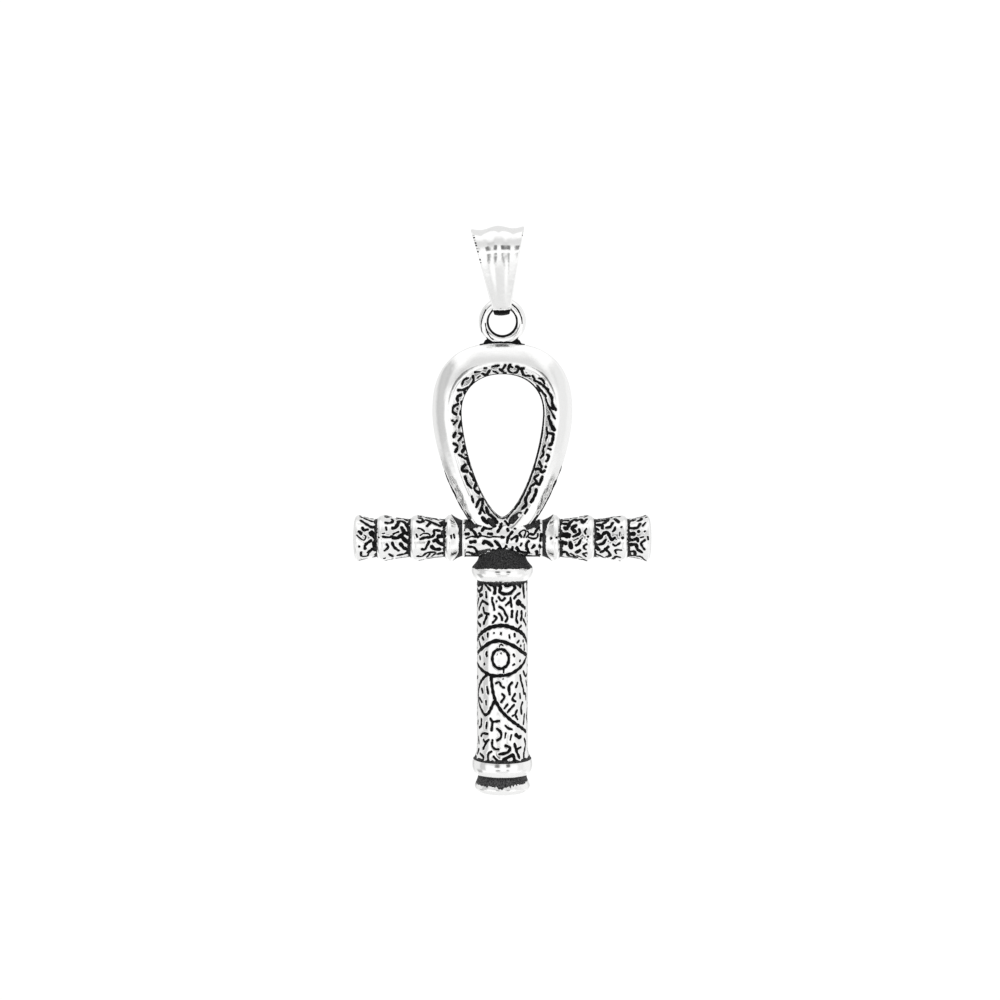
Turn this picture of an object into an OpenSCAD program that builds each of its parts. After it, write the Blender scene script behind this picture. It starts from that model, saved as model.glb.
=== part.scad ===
// Ankh pendant with an engraved eye, hanging in a folded, fluted bail.
// The chain runs along X through the top of the bail. The origin is the place under the fold where the chain bears,
// +Z is up and -Y is the engraved front.

/* [Bail] */
// Outer height of the bail, from the fold to its lower end
bail_h = 9.3; // [8:0.05:11]
// Width of the strip at the fold
bail_top_w = 5.5; // [4:0.1:7]
// Width of the strip at its lower end
bail_low_w = 1.64; // [1.4:0.02:1.9]
// Thickness of the sheet
bail_sheet = 0.38; // [0.3:0.02:0.5]
// Outer radius of the fold that takes the chain
bail_fold_r = 2.55; // [2:0.05:3]
// Depth of the two flutes at the fold
bail_flute = 0.3; // [0:0.02:0.5]
// Drop of the strip's edges below its middle
bail_crown = 0.12; // [0:0.02:0.3]
// Lean of the bail to the left of the pendant's own line, in degrees
bail_lean = 3; // [0:0.5:5]
// Gap between the strip and the eyelet that hangs in it
link_gap = 0.13; // [0.1:0.01:0.2]

/* [Eyelet] */
// Outer radius of the eyelet ring
eyelet_r = 2.45; // [2.3:0.05:2.8]
// Radius of its wire
eyelet_wire_r = 0.52; // [0.45:0.01:0.55]
// How far the ring is sunk into the top of the loop
eyelet_sink = 0.2; // [0.1:0.02:0.4]

/* [Loop] */
// Half width of the loop's outer edge
loop_outer_w = 7.3; // [6:0.1:9]
// Half width of the crest between the polished face and the textured bevel
loop_crest_w = 5.55; // [5:0.05:7]
// Half width of the opening
loop_inner_w = 4.33; // [3.5:0.05:5]
// Half thickness of the loop at its crest, at the top
loop_crest_y = 1.7; // [1.2:0.05:1.9]
// Half thickness of the loop at its crest, at the crossbar
loop_foot_y = 1.5; // [1.2:0.05:1.6]
// Half thickness of the wall round the opening
loop_wall_y = 0.72; // [0.4:0.02:1]

/* [Crossbar] */
// Length of the crossbar over its two ends
bar_l = 31.2; // [28:0.1:36]
// Radius of the middle of the crossbar
bar_r = 1.9; // [1.6:0.05:2.1]
// Radius of the rims on the arms
bar_rim_r = 2.38; // [2.1:0.02:2.8]

/* [Shaft] */
// Radius of the shaft
shaft_r = 2.7; // [2.3:0.05:3]
// Distance from the crossbar's line to the underside of the foot
shaft_l = 27; // [22:0.1:32]
// Radius of the two collar beads
collar_r = 3.24; // [3.1:0.02:3.6]
// Depth of the engraved lines
groove_depth = 0.2; // [0.05:0.05:0.3]
// Width of the engraved lines
groove_w = 0.28; // [0.2:0.02:0.36]

/* [Hidden] */
$fn = 96;
STEEL = [0.78, 0.78, 0.79];
DARK_STEEL = [0.62, 0.62, 0.63];

// Bail: the strip's path seen from the side is a large arc at the fold, a small arc at the lower end and the two
// straight runs between them.
bail_low_r = 1.25; // outer radius of the lower end
bail_fold_z = bail_sheet - bail_fold_r;
link_drop = bail_h - bail_sheet - bail_low_r;
bail_taper = asin((bail_fold_r - bail_low_r) / (link_drop + bail_fold_z));
bail_fold_steps = 20;
bail_run_steps = 8;
bail_low_steps = 10;
bail_across = 16;
flute_place = 0.6; // place of each flute, as a share of the half width
flute_power = 1.5;

// The link: the eyelet swings about the middle of the strip's lower arc, with the strip's two edges near its wire.
ring_mid_r = eyelet_r - eyelet_wire_r;
ring_hole_r = ring_mid_r - eyelet_wire_r;
chord_rise = sqrt(pow(ring_hole_r - link_gap, 2) - pow(bail_low_w / 2, 2));
ring_drop = link_drop + bail_low_r - bail_sheet + chord_rise;
ring_x = ring_drop * sin(bail_lean);
ring_z = -ring_drop * cos(bail_lean);

// Heights in the ankh's own frame, from the crossbar's line
loop_mid_z = 13.1; // where the loop is widest
loop_steps = 96;
loop_face_steps = 6;
loop_face_turn = 68; // turn of the polished face from the outer edge to the crest, in degrees

// One row for each outline of the loop: half width, rise and its power above the widest place, drop and its power
// below it.
OUTER = [loop_outer_w, 7.35, 2.5, 14.0, 1.6];
CREST = [loop_crest_w, 5.2, 2.35, 12.6, 1.55];
INNER = [loop_inner_w, 4.2, 2.2, 11.0, 1.5];

loop_top_z = loop_mid_z + OUTER[1];
eyelet_z = loop_top_z + eyelet_r - eyelet_sink;

// Solder between the ring and the loop, seen from the front: one side's points from the loop's top
solder_half_y = 0.36;
SOLDER = [[2.4, -0.45], [2.3, -0.12], [2.02, 0.06], [1.88, 0.42], [1.2, 0.62], [0, 0.4]];

// Arms: one row for each flared segment of an arm, inner end and outer end as shares of half the crossbar
SEGMENTS = [[0.383, 0.615], [0.615, 0.839], [0.839, 1]];
arm_half = bar_l / 2;
arm_neck_r = bar_r + 0.02;
arm_collar_in = 0.269 * arm_half; // where the cove beside the middle begins
arm_lip_w = 0.25;
arm_lip_h = 0.06;
rim_l = 0.6; // length of a rim's rounding along the arm
collar_rim_l = 0.58;
collar_rim_r = bar_rim_r + 0.07;
end_dome = 0.42;
round_steps = 5;
flare_steps = 6;
flare_power = 1.7;
cove_power = 1.4;

// Shaft and foot
neck_r = 2.5;
neck_z = -2.34;
root_r = 1.55;
root_z = -0.95;
collar_z = -3.12; // upper edge of the upper bead
collar_h = 1.26;
foot_flare_z = 4.8 - shaft_l; // where the shaft begins to widen towards the lower bead
foot_bead_z = 2.9 - shaft_l; // middle of the lower bead
foot_bead_h = 1.08;
foot_bead_top = 34; // turn from the bead's middle to its upper edge
foot_neck_r = 2.55;
foot_r = 2.93;
foot_round = 0.62;
bead_steps = 6;

// Engraved eye: points are [distance round the shaft from its front, height above the middle of the iris]
eye_z = -12.4;
groove_steps = 5; // steps between two points of a line
groove_top = 0.3;
iris_x = -0.2;
iris = [0.9, 1.03]; // half width and half height
iris_steps = 30;
brow_line = [[-4.5, 1.0], [-3.3, 2.05], [-2.2, 2.8], [-1.2, 3.32], [0.05, 3.52], [1.0, 3.28], [2.0, 2.8],
             [2.75, 2.28], [3.6, 1.4]];
upper_lid_line = [[-5.0, -0.3], [-3.6, 0.3], [-2.4, 1.0], [-1.3, 1.68], [-0.4, 1.9], [0.6, 1.62], [1.55, 1.15],
                  [2.6, 0.46], [3.5, 0.1]];
lower_lid_line = [[-5.0, -0.3], [-3.6, -0.9], [-2.0, -1.55], [-1.1, -1.8], [-0.15, -1.77], [0.8, -1.65],
                  [1.9, -1.15], [2.9, -0.5], [3.5, 0.1]];
drop_line = [[-1.86, -1.85], [-2.8, -2.75], [-3.3, -3.8], [-3.2, -4.85], [-2.5, -5.7], [-2.0, -6.06],
             [-1.5, -5.75], [-1.08, -4.95], [-0.78, -4.36]];
cheek_line = [[-1.27, -1.8], [-1.1, -3.1], [-0.9, -4.0], [-0.6, -4.7], [-0.05, -5.55], [0.8, -6.42],
              [1.85, -7.2], [3.3, -8.1]];

// Outline point at a turn from the loop's right side, in degrees
function outline(row, turn) =
    let (c = cos(turn), s = sin(turn), high = s > 0, power = 2 / (high ? row[2] : row[4]))
    [sign(c) * row[0] * pow(abs(c), power),
     loop_mid_z + sign(s) * (high ? row[1] : row[3]) * pow(abs(s), power)];

// Half thickness at the crest at a height
function crest_y(z) = loop_foot_y + (loop_crest_y - loop_foot_y) * max(0, min(1, z / loop_mid_z));

function mix(a, b, share) = a + (b - a) * share;

// Section of the loop: round the front face to the crest, down the bevel, through the wall and back to the edge
function loop_section(turn) =
    let (outer = outline(OUTER, turn), crest = outline(CREST, turn), inner = outline(INNER, turn),
         top_y = crest_y(crest[1]), edge = cos(loop_face_turn))
    [for (side = [-1, 1], i = [0 : loop_face_steps])
        let (k = side < 0 ? i : loop_face_steps - i, a = loop_face_turn * k / loop_face_steps,
             share = (cos(a) - edge) / (1 - edge), at = mix(crest, outer, share))
        each side > 0 && k == 0 ? []
            : concat(side > 0 && i == 0 ? [[inner[0], loop_wall_y, inner[1]]] : [],
                     [[at[0], side * top_y * sin(a) / sin(loop_face_turn), at[1]]],
                     side < 0 && i == loop_face_steps ? [[inner[0], -loop_wall_y, inner[1]]] : [])];

// Faces of a closed ring of equal sections
function ring_faces(sections, points) =
    [for (i = [0 : sections - 1], j = [0 : points - 1])
        let (n = (i + 1) % sections, m = (j + 1) % points)
        [i * points + j, i * points + m, n * points + m, n * points + j]];

// Faces of an open bar of equal sections, with its two ends
function bar_faces(sections, points) =
    concat([for (i = [0 : sections - 2], j = [0 : points - 1])
                let (m = (j + 1) % points)
                [i * points + j, i * points + m, (i + 1) * points + m, (i + 1) * points + j]],
           [[for (j = [points - 1 : -1 : 0]) j], [for (j = [0 : points - 1]) (sections - 1) * points + j]]);

// Catmull-Rom curve through a list of points
function curve_point(p, i, t) =
    let (a = p[max(i - 1, 0)], b = p[i], c = p[i + 1], d = p[min(i + 2, len(p) - 1)])
    0.5 * (2 * b + (c - a) * t + (2 * a - 5 * b + 4 * c - d) * t * t + (3 * b - a - 3 * c + d) * t * t * t);
function curve(p) =
    concat([for (i = [0 : len(p) - 2], k = [0 : groove_steps - 1]) curve_point(p, i, k / groove_steps)],
           [p[len(p) - 1]]);

// A place on the shaft: distance round it from the front, height above the iris, and distance from its axis
function on_shaft(p, r) = [r * sin(p[0] / shaft_r * 180 / PI), -r * cos(p[0] / shaft_r * 180 / PI), p[1] + eye_z];

// Section of a groove's cutter, square to the line's direction
function cutter_section(p, along) =
    let (side = [-along[1], along[0]] / norm(along) * groove_w / 2, low = shaft_r - groove_depth,
         high = shaft_r + groove_top)
    [on_shaft(p - side, low), on_shaft(p + side, low), on_shaft(p + side, high), on_shaft(p - side, high)];

module groove(points) {
    line = curve(points);
    n = len(line);
    polyhedron([for (i = [0 : n - 1]) each cutter_section(line[i], line[min(i + 1, n - 1)] - line[max(i - 1, 0)])],
               bar_faces(n, 4), convexity = 8);
}

module iris_groove() {
    polyhedron([for (i = [0 : iris_steps - 1])
                   let (a = -360 * i / iris_steps)
                   each cutter_section([iris_x + iris[0] * cos(a), iris[1] * sin(a)],
                                       [iris[0] * sin(a), -iris[1] * cos(a)])],
               ring_faces(iris_steps, 4), convexity = 8);
}

module eye() {
    groove(brow_line);
    groove(upper_lid_line);
    groove(lower_lid_line);
    groove(drop_line);
    groove(cheek_line);
    iris_groove();
}

// Rounded rim, from its widest place out to the next segment's neck
function rim(x, length, r) =
    [for (i = [0 : round_steps])
        let (a = 90 * i / round_steps) [x - length * (1 - sin(a)), mix(arm_neck_r, r, cos(a))]];

// Flare from a narrow place out to a wide one
function flare(x0, r0, x1, r1, power) =
    [for (i = [0 : flare_steps - 1]) let (k = i / flare_steps) [mix(x0, x1, k), mix(r0, r1, pow(k, power))]];

function segment(row) =
    concat(flare(row[0] * arm_half, arm_neck_r, row[1] * arm_half - rim_l, bar_rim_r, flare_power),
           rim(row[1] * arm_half, rim_l, bar_rim_r));

// The last segment ends in a shallow dome.
function end_segment(row) =
    concat(flare(row[0] * arm_half, arm_neck_r, arm_half - end_dome, bar_rim_r, flare_power),
           [for (i = [0 : round_steps + 1])
               let (a = 90 * i / (round_steps + 1))
               [arm_half - end_dome * (1 - sin(a)), bar_rim_r * sqrt(max(0, cos(a)))]]);

// Half of the crossbar, turned about its own axis
module arm() {
    collar_x = SEGMENTS[0][0] * arm_half;
    lip_x = arm_collar_in - arm_lip_w;
    profile = concat([[0, 0], [0, bar_r], [lip_x, bar_r], [lip_x, bar_r + arm_lip_h],
                      [arm_collar_in, bar_r + arm_lip_h]],
                     flare(arm_collar_in, bar_r - arm_lip_h, collar_x - collar_rim_l, collar_rim_r, cove_power),
                     rim(collar_x, collar_rim_l, collar_rim_r),
                     segment(SEGMENTS[0]), segment(SEGMENTS[1]), end_segment(SEGMENTS[2]));
    distinct = [for (i = [0 : len(profile) - 1]) if (i == 0 || norm(profile[i] - profile[i - 1]) > 0.001) profile[i]];
    rotate([0, 90, 0]) rotate_extrude() polygon([for (p = distinct) [p[1], p[0]]]);
}

module crossbar() {
    arm();
    mirror([1, 0, 0]) arm();
}

// Rounded bead, between two turns from its widest place down
function bead(z, r_high, r_low, h, from) =
    [for (i = [0 : bead_steps])
        let (a = mix(from, 90, i / bead_steps)) [mix(r_low, r_high, cos(a)), z - h * sin(a)]];

// Shaft with its collars and foot, turned about Z
module shaft() {
    profile = concat([[0, root_z], [root_r, root_z], [2.02, -1.5], [2.36, -1.95], [neck_r, neck_z],
                      [collar_r, collar_z]],
                     bead(collar_z - 0.2, collar_r, shaft_r, collar_h - 0.2, 0),
                     [[shaft_r, foot_flare_z], [shaft_r + 0.06, foot_flare_z - 0.45],
                      [shaft_r + 0.15, foot_flare_z - 0.85]],
                     bead(foot_bead_z, collar_r - 0.05, foot_neck_r, foot_bead_h, -foot_bead_top),
                     [for (i = [0 : round_steps])
                         let (a = mix(0, 90, i / round_steps))
                         [foot_r - foot_round * (1 - cos(a)), -shaft_l + foot_round * (1 - sin(a))]],
                     [[0, -shaft_l]]);
    rotate_extrude() polygon(profile);
}

module loop() {
    sections = [for (i = [0 : loop_steps - 1]) loop_section(360 * (i + 0.5) / loop_steps)];
    polyhedron([for (s = sections) each s], ring_faces(loop_steps, len(sections[0])), convexity = 6);
}

module eyelet() {
    translate([0, 0, eyelet_z]) rotate([90, 0, 0])
        rotate_extrude() translate([ring_mid_r, 0]) circle(r = eyelet_wire_r);
    translate([0, solder_half_y, loop_top_z]) rotate([90, 0, 0]) linear_extrude(2 * solder_half_y)
        polygon(concat(SOLDER, [for (i = [len(SOLDER) - 2 : -1 : 0]) [-SOLDER[i][0], SOLDER[i][1]]]));
}

module ankh() {
    color(STEEL) translate([ring_x, 0, ring_z - eyelet_z]) {
        difference() {
            union() {
                crossbar();
                shaft();
            }
            eye();
        }
        loop();
        eyelet();
    }
}

// Side path of the strip's outer face: [y, z] and its outward turn from straight up, for a station round the loop
fold_turn = 90 + bail_taper;
low_turn = 90 - bail_taper;
bail_stations = concat(
    [for (i = [0 : bail_fold_steps]) let (a = mix(-fold_turn, fold_turn, i / bail_fold_steps)) [a, 0, 0]],
    [for (i = [1 : bail_run_steps - 1]) [fold_turn, i / bail_run_steps, 1]],
    [for (i = [0 : bail_low_steps]) let (a = mix(fold_turn, 360 - fold_turn, i / bail_low_steps)) [a, 1, 0]],
    [for (i = [1 : bail_run_steps - 1]) [-fold_turn, 1 - i / bail_run_steps, 1]]);

function path_point(station, inset) =
    let (a = station[0], s = station[1], r = mix(bail_fold_r, bail_low_r, s) - inset,
         centre_z = mix(bail_fold_z, -link_drop, s))
    [r * sin(a), centre_z + r * cos(a)];

// Share of the height above the lower end
function height_share(z) = max(0, min(1, (z + bail_h - bail_sheet) / bail_h));
function half_width(z) = mix(bail_low_w, bail_top_w, height_share(z)) / 2;
function flute(z, t) = bail_flute * pow(height_share(z), flute_power) * pow(sin(90 * abs(t) / flute_place), 2);

function strip_point(station, t, depth) =
    let (mid = path_point(station, 0), crown = depth > 0 ? 0 : bail_crown * t * t,
         at = path_point(station, depth + crown + flute(mid[1], t)))
    [t * half_width(mid[1]), at[0], at[1]];

function strip_section(station) =
    concat([for (j = [0 : bail_across]) strip_point(station, -1 + 2 * j / bail_across, 0)],
           [for (j = [bail_across : -1 : 0]) strip_point(station, -1 + 2 * j / bail_across, bail_sheet)]);

module bail() {
    sections = [for (s = bail_stations) strip_section(s)];
    color(DARK_STEEL) rotate([0, -bail_lean, 0])
        polyhedron([for (s = sections) each s], ring_faces(len(sections), len(sections[0])), convexity = 6);
}

bail();
ankh();
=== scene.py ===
"""Ankh pendant with an engraved eye, hanging in a folded, fluted bail.

The pendant is cast in bright steel with a black meandering texture. Every piece is worked out in millimetres in its
own frame and put where the CAD model has it. The black marks are grooves in the meshes: each vertex holds its distance
from the nearest mark, and the finish turns black inside them.
"""

import logging
import math
import random
from dataclasses import dataclass, field
from enum import Enum
from typing import Callable, Iterable, Sequence

import bpy
import numpy as np
from mathutils import Matrix, Vector
from mathutils.kdtree import KDTree


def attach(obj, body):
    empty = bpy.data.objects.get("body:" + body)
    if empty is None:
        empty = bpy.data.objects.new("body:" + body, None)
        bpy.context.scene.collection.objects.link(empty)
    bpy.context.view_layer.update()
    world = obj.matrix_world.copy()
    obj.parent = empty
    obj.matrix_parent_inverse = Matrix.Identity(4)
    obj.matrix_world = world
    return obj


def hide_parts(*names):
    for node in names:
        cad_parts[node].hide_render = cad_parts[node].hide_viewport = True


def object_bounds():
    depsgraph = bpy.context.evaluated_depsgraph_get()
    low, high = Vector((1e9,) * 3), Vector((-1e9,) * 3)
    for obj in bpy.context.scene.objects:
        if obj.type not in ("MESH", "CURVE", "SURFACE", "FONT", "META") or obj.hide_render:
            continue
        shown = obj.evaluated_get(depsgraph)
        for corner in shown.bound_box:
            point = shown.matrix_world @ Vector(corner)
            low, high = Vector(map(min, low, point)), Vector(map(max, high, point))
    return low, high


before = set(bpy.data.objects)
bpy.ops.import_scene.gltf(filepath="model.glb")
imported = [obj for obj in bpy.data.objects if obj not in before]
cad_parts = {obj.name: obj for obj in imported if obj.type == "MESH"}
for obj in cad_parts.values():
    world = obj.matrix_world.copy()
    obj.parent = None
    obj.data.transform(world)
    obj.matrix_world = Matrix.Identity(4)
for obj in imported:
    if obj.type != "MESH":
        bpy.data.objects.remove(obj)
CAD_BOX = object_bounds()

LOG = logging.getLogger("pendant")
MM = 0.001
ALONG = math.pi / 2  # heading along the rows of a skin
Point = tuple[float, float]
Socket = bpy.types.NodeSocket
Place = tuple[float, float, float]
Stroke = tuple[float, tuple[Point, ...]]


class Body(Enum):
    """The CAD bodies that pieces ride on."""

    BAIL = "bail"
    ANKH = "ankh"


class Slot(Enum):
    """The record's material slots."""

    BAIL = "polished_steel"
    ANKH = "cast_steel"


# Drawn strokes: each is (half width, places), and the rest of the texture is grown round them

# Places on the shaft: distance round it from its front, and height.
SHAFT_STROKES: tuple[Stroke, ...] = (
    (0.12, ((-4.21, -4.69), (-3.2, -4.83), (-2.53, -4.51))),
    (0.11, ((-2.47, -4.62), (-2.53, -5.11), (-3.1, -5.51), (-3.74, -5.35))),
    (0.1, ((-2.05, -4.58), (-1.63, -4.94), (-1.33, -5.21))),
    (0.14, ((-1.44, -4.57), (-0.91, -4.7), (-0.79, -5.05), (-0.83, -5.46))),
    (0.13, ((-0.66, -4.52), (-0.18, -4.84), (-0.3, -5.28), (0.14, -5.54), (0.79, -5.5), (1.15, -5.23),
    (1.4, -4.93), (1.18, -4.59))), (0.11, ((0.22, -4.43), (0.38, -4.7), (0.96, -4.62), (1.13, -4.43))),
    (0.14, ((1.69, -4.48), (2.11, -4.84))), (0.11, ((2.62, -4.4), (2.62, -5.04), (2.8, -6.04))),
    (0.1, ((1.31, -6.05), (1.61, -5.75), (2.08, -5.55))), (0.06, ((3.49, -4.51), (3.49, -5.32))),
    (0.11, ((-2.92, -5.93), (-2.47, -5.79))), (0.1, ((-1.88, -5.45), (-1.83, -5.95))),
    (0.07, ((-3.17, -6.25), (-3.75, -7.14))),
    (0.1, ((-3.11, -7.41), (-2.76, -6.84), (-2.34, -6.44), (-1.65, -6.7))),
    (0.1, ((-1.08, -5.99), (-1.12, -6.28), (-0.95, -6.75), (-0.87, -7.23))), (0.1, ((-0.62, -6.34),)),
    (0.1, ((-0.38, -5.9), (-0.06, -6.26), (0.26, -6))), (0.1, ((0.88, -5.96), (0.92, -6.27), (1, -6.92))),
    (0.1, ((0.83, -6.36), (0.38, -6.73))), (0.22, ((1.84, -6.54), (2.11, -6.68))),
    (0.11, ((2.17, -6.77), (2.98, -7.24))),
    (0.1, ((-0.3, -6.89), (0.14, -7.21), (0.3, -7.62), (0.55, -8.03), (0.36, -8.44))),
    (0.12, ((1.07, -7.4), (1.03, -7.97))), (0.1, ((1.71, -7.43), (1.56, -8.25), (1.74, -8.67))),
    (0.11, ((2.31, -7.55), (2.36, -8.01), (2.23, -8.38))), (0.07, ((3.18, -7.87), (3.03, -8.11))),
    (0.11, ((-2.28, -7.19), (-2.09, -7.65), (-1.54, -7.73))), (0.1, ((-2.54, -7.95), (-3.41, -8.31))),
    (0.11, ((-1.81, -8.04), (-2.2, -8.77))), (0.1, ((-3.56, -8.82), (-2.84, -9.06))),
    (0.1, ((-0.85, -7.88), (-0.62, -8.11), (-1.02, -8.59))), (0.1, ((-0.34, -7.63), (-0.1, -7.91), (-0.02, -8.28))),
    (0.09, ((-3.88, -9.73),)), (0.07, ((2.65, -8.45), (3.25, -9.12))), (0.09, ((1.92, -9.25), (2.23, -9.05))),
    (0.07, ((-3.18, -10.68), (-2.76, -11.31))), (0.09, ((-2.41, -10.3), (-2.22, -10.5))),
    (0.09, ((-1.65, -9.81), (-1.65, -10.13))), (0.09, ((-0.91, -9.7),)), (0.09, ((-0.15, -9.66), (-0.15, -9.76))),
    (0.08, ((0.73, -9.87), (0.79, -10.2))), (0.09, ((1.36, -9.83), (1.39, -10.06))),
    (0.08, ((1.93, -10.58), (1.7, -10.77))), (0.08, ((2.18, -11.16),)), (0.07, ((2.59, -10.65), (2.63, -10.76))),
    (0.05, ((2.81, -11.11), (2.82, -11.7))), (0.1, ((-1.77, -11.77), (-1.84, -11.96), (-1.78, -12.17))),
    (0.07, ((-2.91, -12.44), (-2.85, -12.64))), (0.1, ((-2.13, -13.09),)), (0.09, ((1.24, -12), (1.35, -12.18))),
    (0.09, ((2.11, -12.7), (2.07, -12.76))), (0.08, ((1.32, -13.02), (1.17, -13.1))), (0.06, ((-0.15, -11.8),)),
    (0.05, ((-0.54, -11.91),)), (0.06, ((-0.3, -11.13), (-0.27, -10.97), (-0.14, -10.85), (0.06, -10.97))),
    (0.08, ((0.14, -13.45), (0.14, -13.84))), (0.06, ((0.06, -14.53), (0.11, -14.49))),
    (0.09, ((-0.68, -15), (-0.32, -14.85), (-0.11, -15.25), (0.17, -15.44))),
    (0.12, ((1.04, -14.97), (0.71, -15.36), (0.79, -16.17))), (0.09, ((1.74, -15.04), (1.54, -15.45))),
    (0.09, ((2.11, -14.28), (2.28, -14.94), (2.63, -15.76), (2.72, -16.25))),
    (0.07, ((2.72, -16.29), (3.13, -16.43), (3.26, -17))), (0.08, ((2.63, -13.92), (3.13, -14.5), (3.67, -14.33))),
    (0.07, ((3.26, -15.02), (3.59, -15.63))), (0.1, ((-0.02, -16.12), (0.22, -16.44), (-0.11, -16.96))),
    (0.1, ((1.4, -16.19), (1.1, -16.71), (1.49, -16.99))), (0.08, ((2.07, -16.22), (2.14, -16.68))),
    (0.09, ((0.55, -17.22), (0.22, -17.65))), (0.1, ((1.3, -17.32), (0.94, -17.65), (0.57, -18.06))),
    (0.09, ((1.68, -17.93), (1.46, -18.36), (1.74, -18.91))), (0.08, ((1.46, -18.36), (1.11, -18.49))),
    (0.09, ((2.47, -17.23), (2.25, -17.7), (2.33, -18.37))),
    (0.07, ((3.69, -18.15), (3.45, -18.76), (3.7, -19.48))), (0.07, ((2.86, -18.56), (2.68, -19.53))),
    (0.07, ((-3.52, -14.62), (-4.21, -15))), (0.09, ((-2.53, -15.79), (-2.37, -16.14))),
    (0.1, ((-1.76, -15.47), (-1.61, -16.14))), (0.08, ((-2.94, -16.85), (-2.53, -17.17))),
    (0.08, ((-1.89, -17), (-1.87, -17.36))), (0.09, ((-3.89, -18.63),)),
    (0.08, ((-2.61, -19.06), (-2.68, -19.72), (-3.06, -19.98))), (0.09, ((-1.76, -19.27), (-1.87, -19.88))),
    (0.07, ((-3.43, -19.33), (-3.54, -19.66))), (0.1, ((-1.31, -18.79), (-1.02, -19.08), (-0.32, -18.98))),
    (0.11, ((-1.07, -19.13), (-1.18, -20))), (0.1, ((0.33, -19.49), (0.64, -19.77), (1.04, -19.91))),
    (0.09, ((-2.67, -20.81), (-2.35, -20.5), (-1.67, -20.46))),
    (0.11, ((-0.56, -19.83), (-0.16, -20.2), (-0.16, -20.76), (-0.52, -21.05))),
    (0.08, ((0.36, -20.3), (0.29, -20.76))), (0.08, ((0.99, -20.53), (0.86, -21.02))),
    (0.14, ((1.55, -20.56), (1.9, -20.84), (2.19, -20.83))),
    (0.1, ((-2.24, -21.19), (-1.97, -21.39), (-1.55, -21.08))), (0.1, ((-1.87, -21.41), (-2.28, -22.09))),
    (0.1, ((-1.08, -21.06), (-1.12, -21.66), (-0.78, -22), (-0.41, -22))),
    (0.12, ((0.38, -21.64), (0.84, -21.88), (0.55, -22.34), (-0.3, -22.52))),
    (0.12, ((1.37, -21.51), (1.57, -22.18), (1.87, -22.98))), (0.09, ((1.65, -22.1), (2.19, -21.96))),
    (0.08, ((2.86, -21.16), (3.15, -21.76), (2.87, -22.38))), (0.07, ((-3.31, -21.05), (-3.16, -21.67))),
    (0.09, ((-3.18, -22.35), (-3.38, -22.77))), (0.09, ((-2.76, -22.72), (-2.13, -22.97), (-2.1, -23.4))),
    (0.1, ((-1.18, -22.28), (-1.56, -22.61), (-1.45, -23.31))), (0.11, ((-0.91, -22.8), (-0.39, -23.28))),
    (0.14, ((0.17, -23.06), (0.65, -22.82), (1.14, -22.68), (1.27, -23.2))),
    (0.12, ((0.76, -23.44), (1.35, -23.21), (1.48, -23.65))), (0.08, ((2.68, -22.63), (2.45, -23.22))),
    (0.07, ((4.21, -23.04), (3.29, -23.61))), (0.09, ((-3.79, -23.33), (-3.59, -23.58))),
)
# Places on the crossbar: distance from its middle, and turn above its front in degrees.
MIDDLE_STROKES: tuple[Stroke, ...] = (
    (0.13, ((-3.84, 19), (-3.54, 19))), (0.11, ((-3.26, 34), (-2.94, 26), (-2.71, 14))),
    (0.06, ((-3.79, 5), (-3.17, 12), (-2.74, 9), (-2.27, 14), (-1.34, 9), (-0.94, 11), (-0.28, 10))),
    (0.09, ((-2.57, 9), (-2.27, 15), (-2.41, 22))), (0.11, ((-0.18, 10), (0.15, 9))),
    (0.11, ((-1.46, 20), (-1.11, 19))), (0.11, ((-2.1, 30), (-1.91, 42), (-1.84, 48))),
    (0.09, ((-1.84, 39), (-1.34, 36), (-0.96, 43))), (0.1, ((-0.18, 57), (-0.17, 42), (-0.48, 26))),
    (0.09, ((0.34, 69), (0.62, 53))), (0.1, ((0.55, 35), (0.6, 30))), (0.08, ((1.29, 37), (1.37, 37))),
    (0.09, ((0.97, 47), (1.32, 58), (1.72, 58))), (0.11, ((1.02, 25), (0.62, 9), (0.5, -7))),
    (0.09, ((0.96, 3), (1.53, 13), (1.58, 5), (1.48, -3))), (0.09, ((1.82, 18), (1.98, 10))),
    (0.06, ((1.72, 20), (2.12, 31), (2.45, 28), (2.25, 9))), (0.06, ((2.51, 9), (2.78, 20), (2.65, 28))),
    (0.09, ((2.93, 20), (3.28, 18), (3.58, 32), (3.88, 41))), (0.09, ((4.06, 19), (3.98, -1))),
    (0.07, ((3.71, 20), (3.64, 9), (3.24, 5), (2.71, 9))), (0.13, ((-3.3, -6), (-2.86, -4))),
    (0.13, ((-1.99, -9), (-1.84, -3), (-1.48, -8), (-1.09, -16))),
    (0.11, ((-0.76, -3), (-0.35, -15), (-0.03, -33))), (0.09, ((-3.57, -21), (-2.94, -24), (-2.66, -41))),
    (0.09, ((-3.7, -43), (-3.35, -46), (-2.75, -71), (-2.42, -83))),
    (0.09, ((-1, -32), (-0.61, -34), (-0.25, -24))), (0.09, ((0.4, -18), (0.2, -30), (0.52, -35))),
    (0.11, ((1.07, -22), (1, -40), (1.27, -53))), (0.1, ((1.53, -22), (1.8, -37), (2.45, -43))),
    (0.09, ((2, -11), (1.92, -16))), (0.1, ((2.75, -3), (2.53, -11), (2.58, -24), (2.79, -46))),
    (0.11, ((3.33, -17), (3.15, -25))), (0.11, ((3.91, -16), (3.95, -21))), (0.09, ((3.62, -37), (3.69, -58))),
    (0.08, ((3.96, -53), (3.47, -83))), (0.08, ((-3.75, -63), (-3.43, -83))),
)
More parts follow.
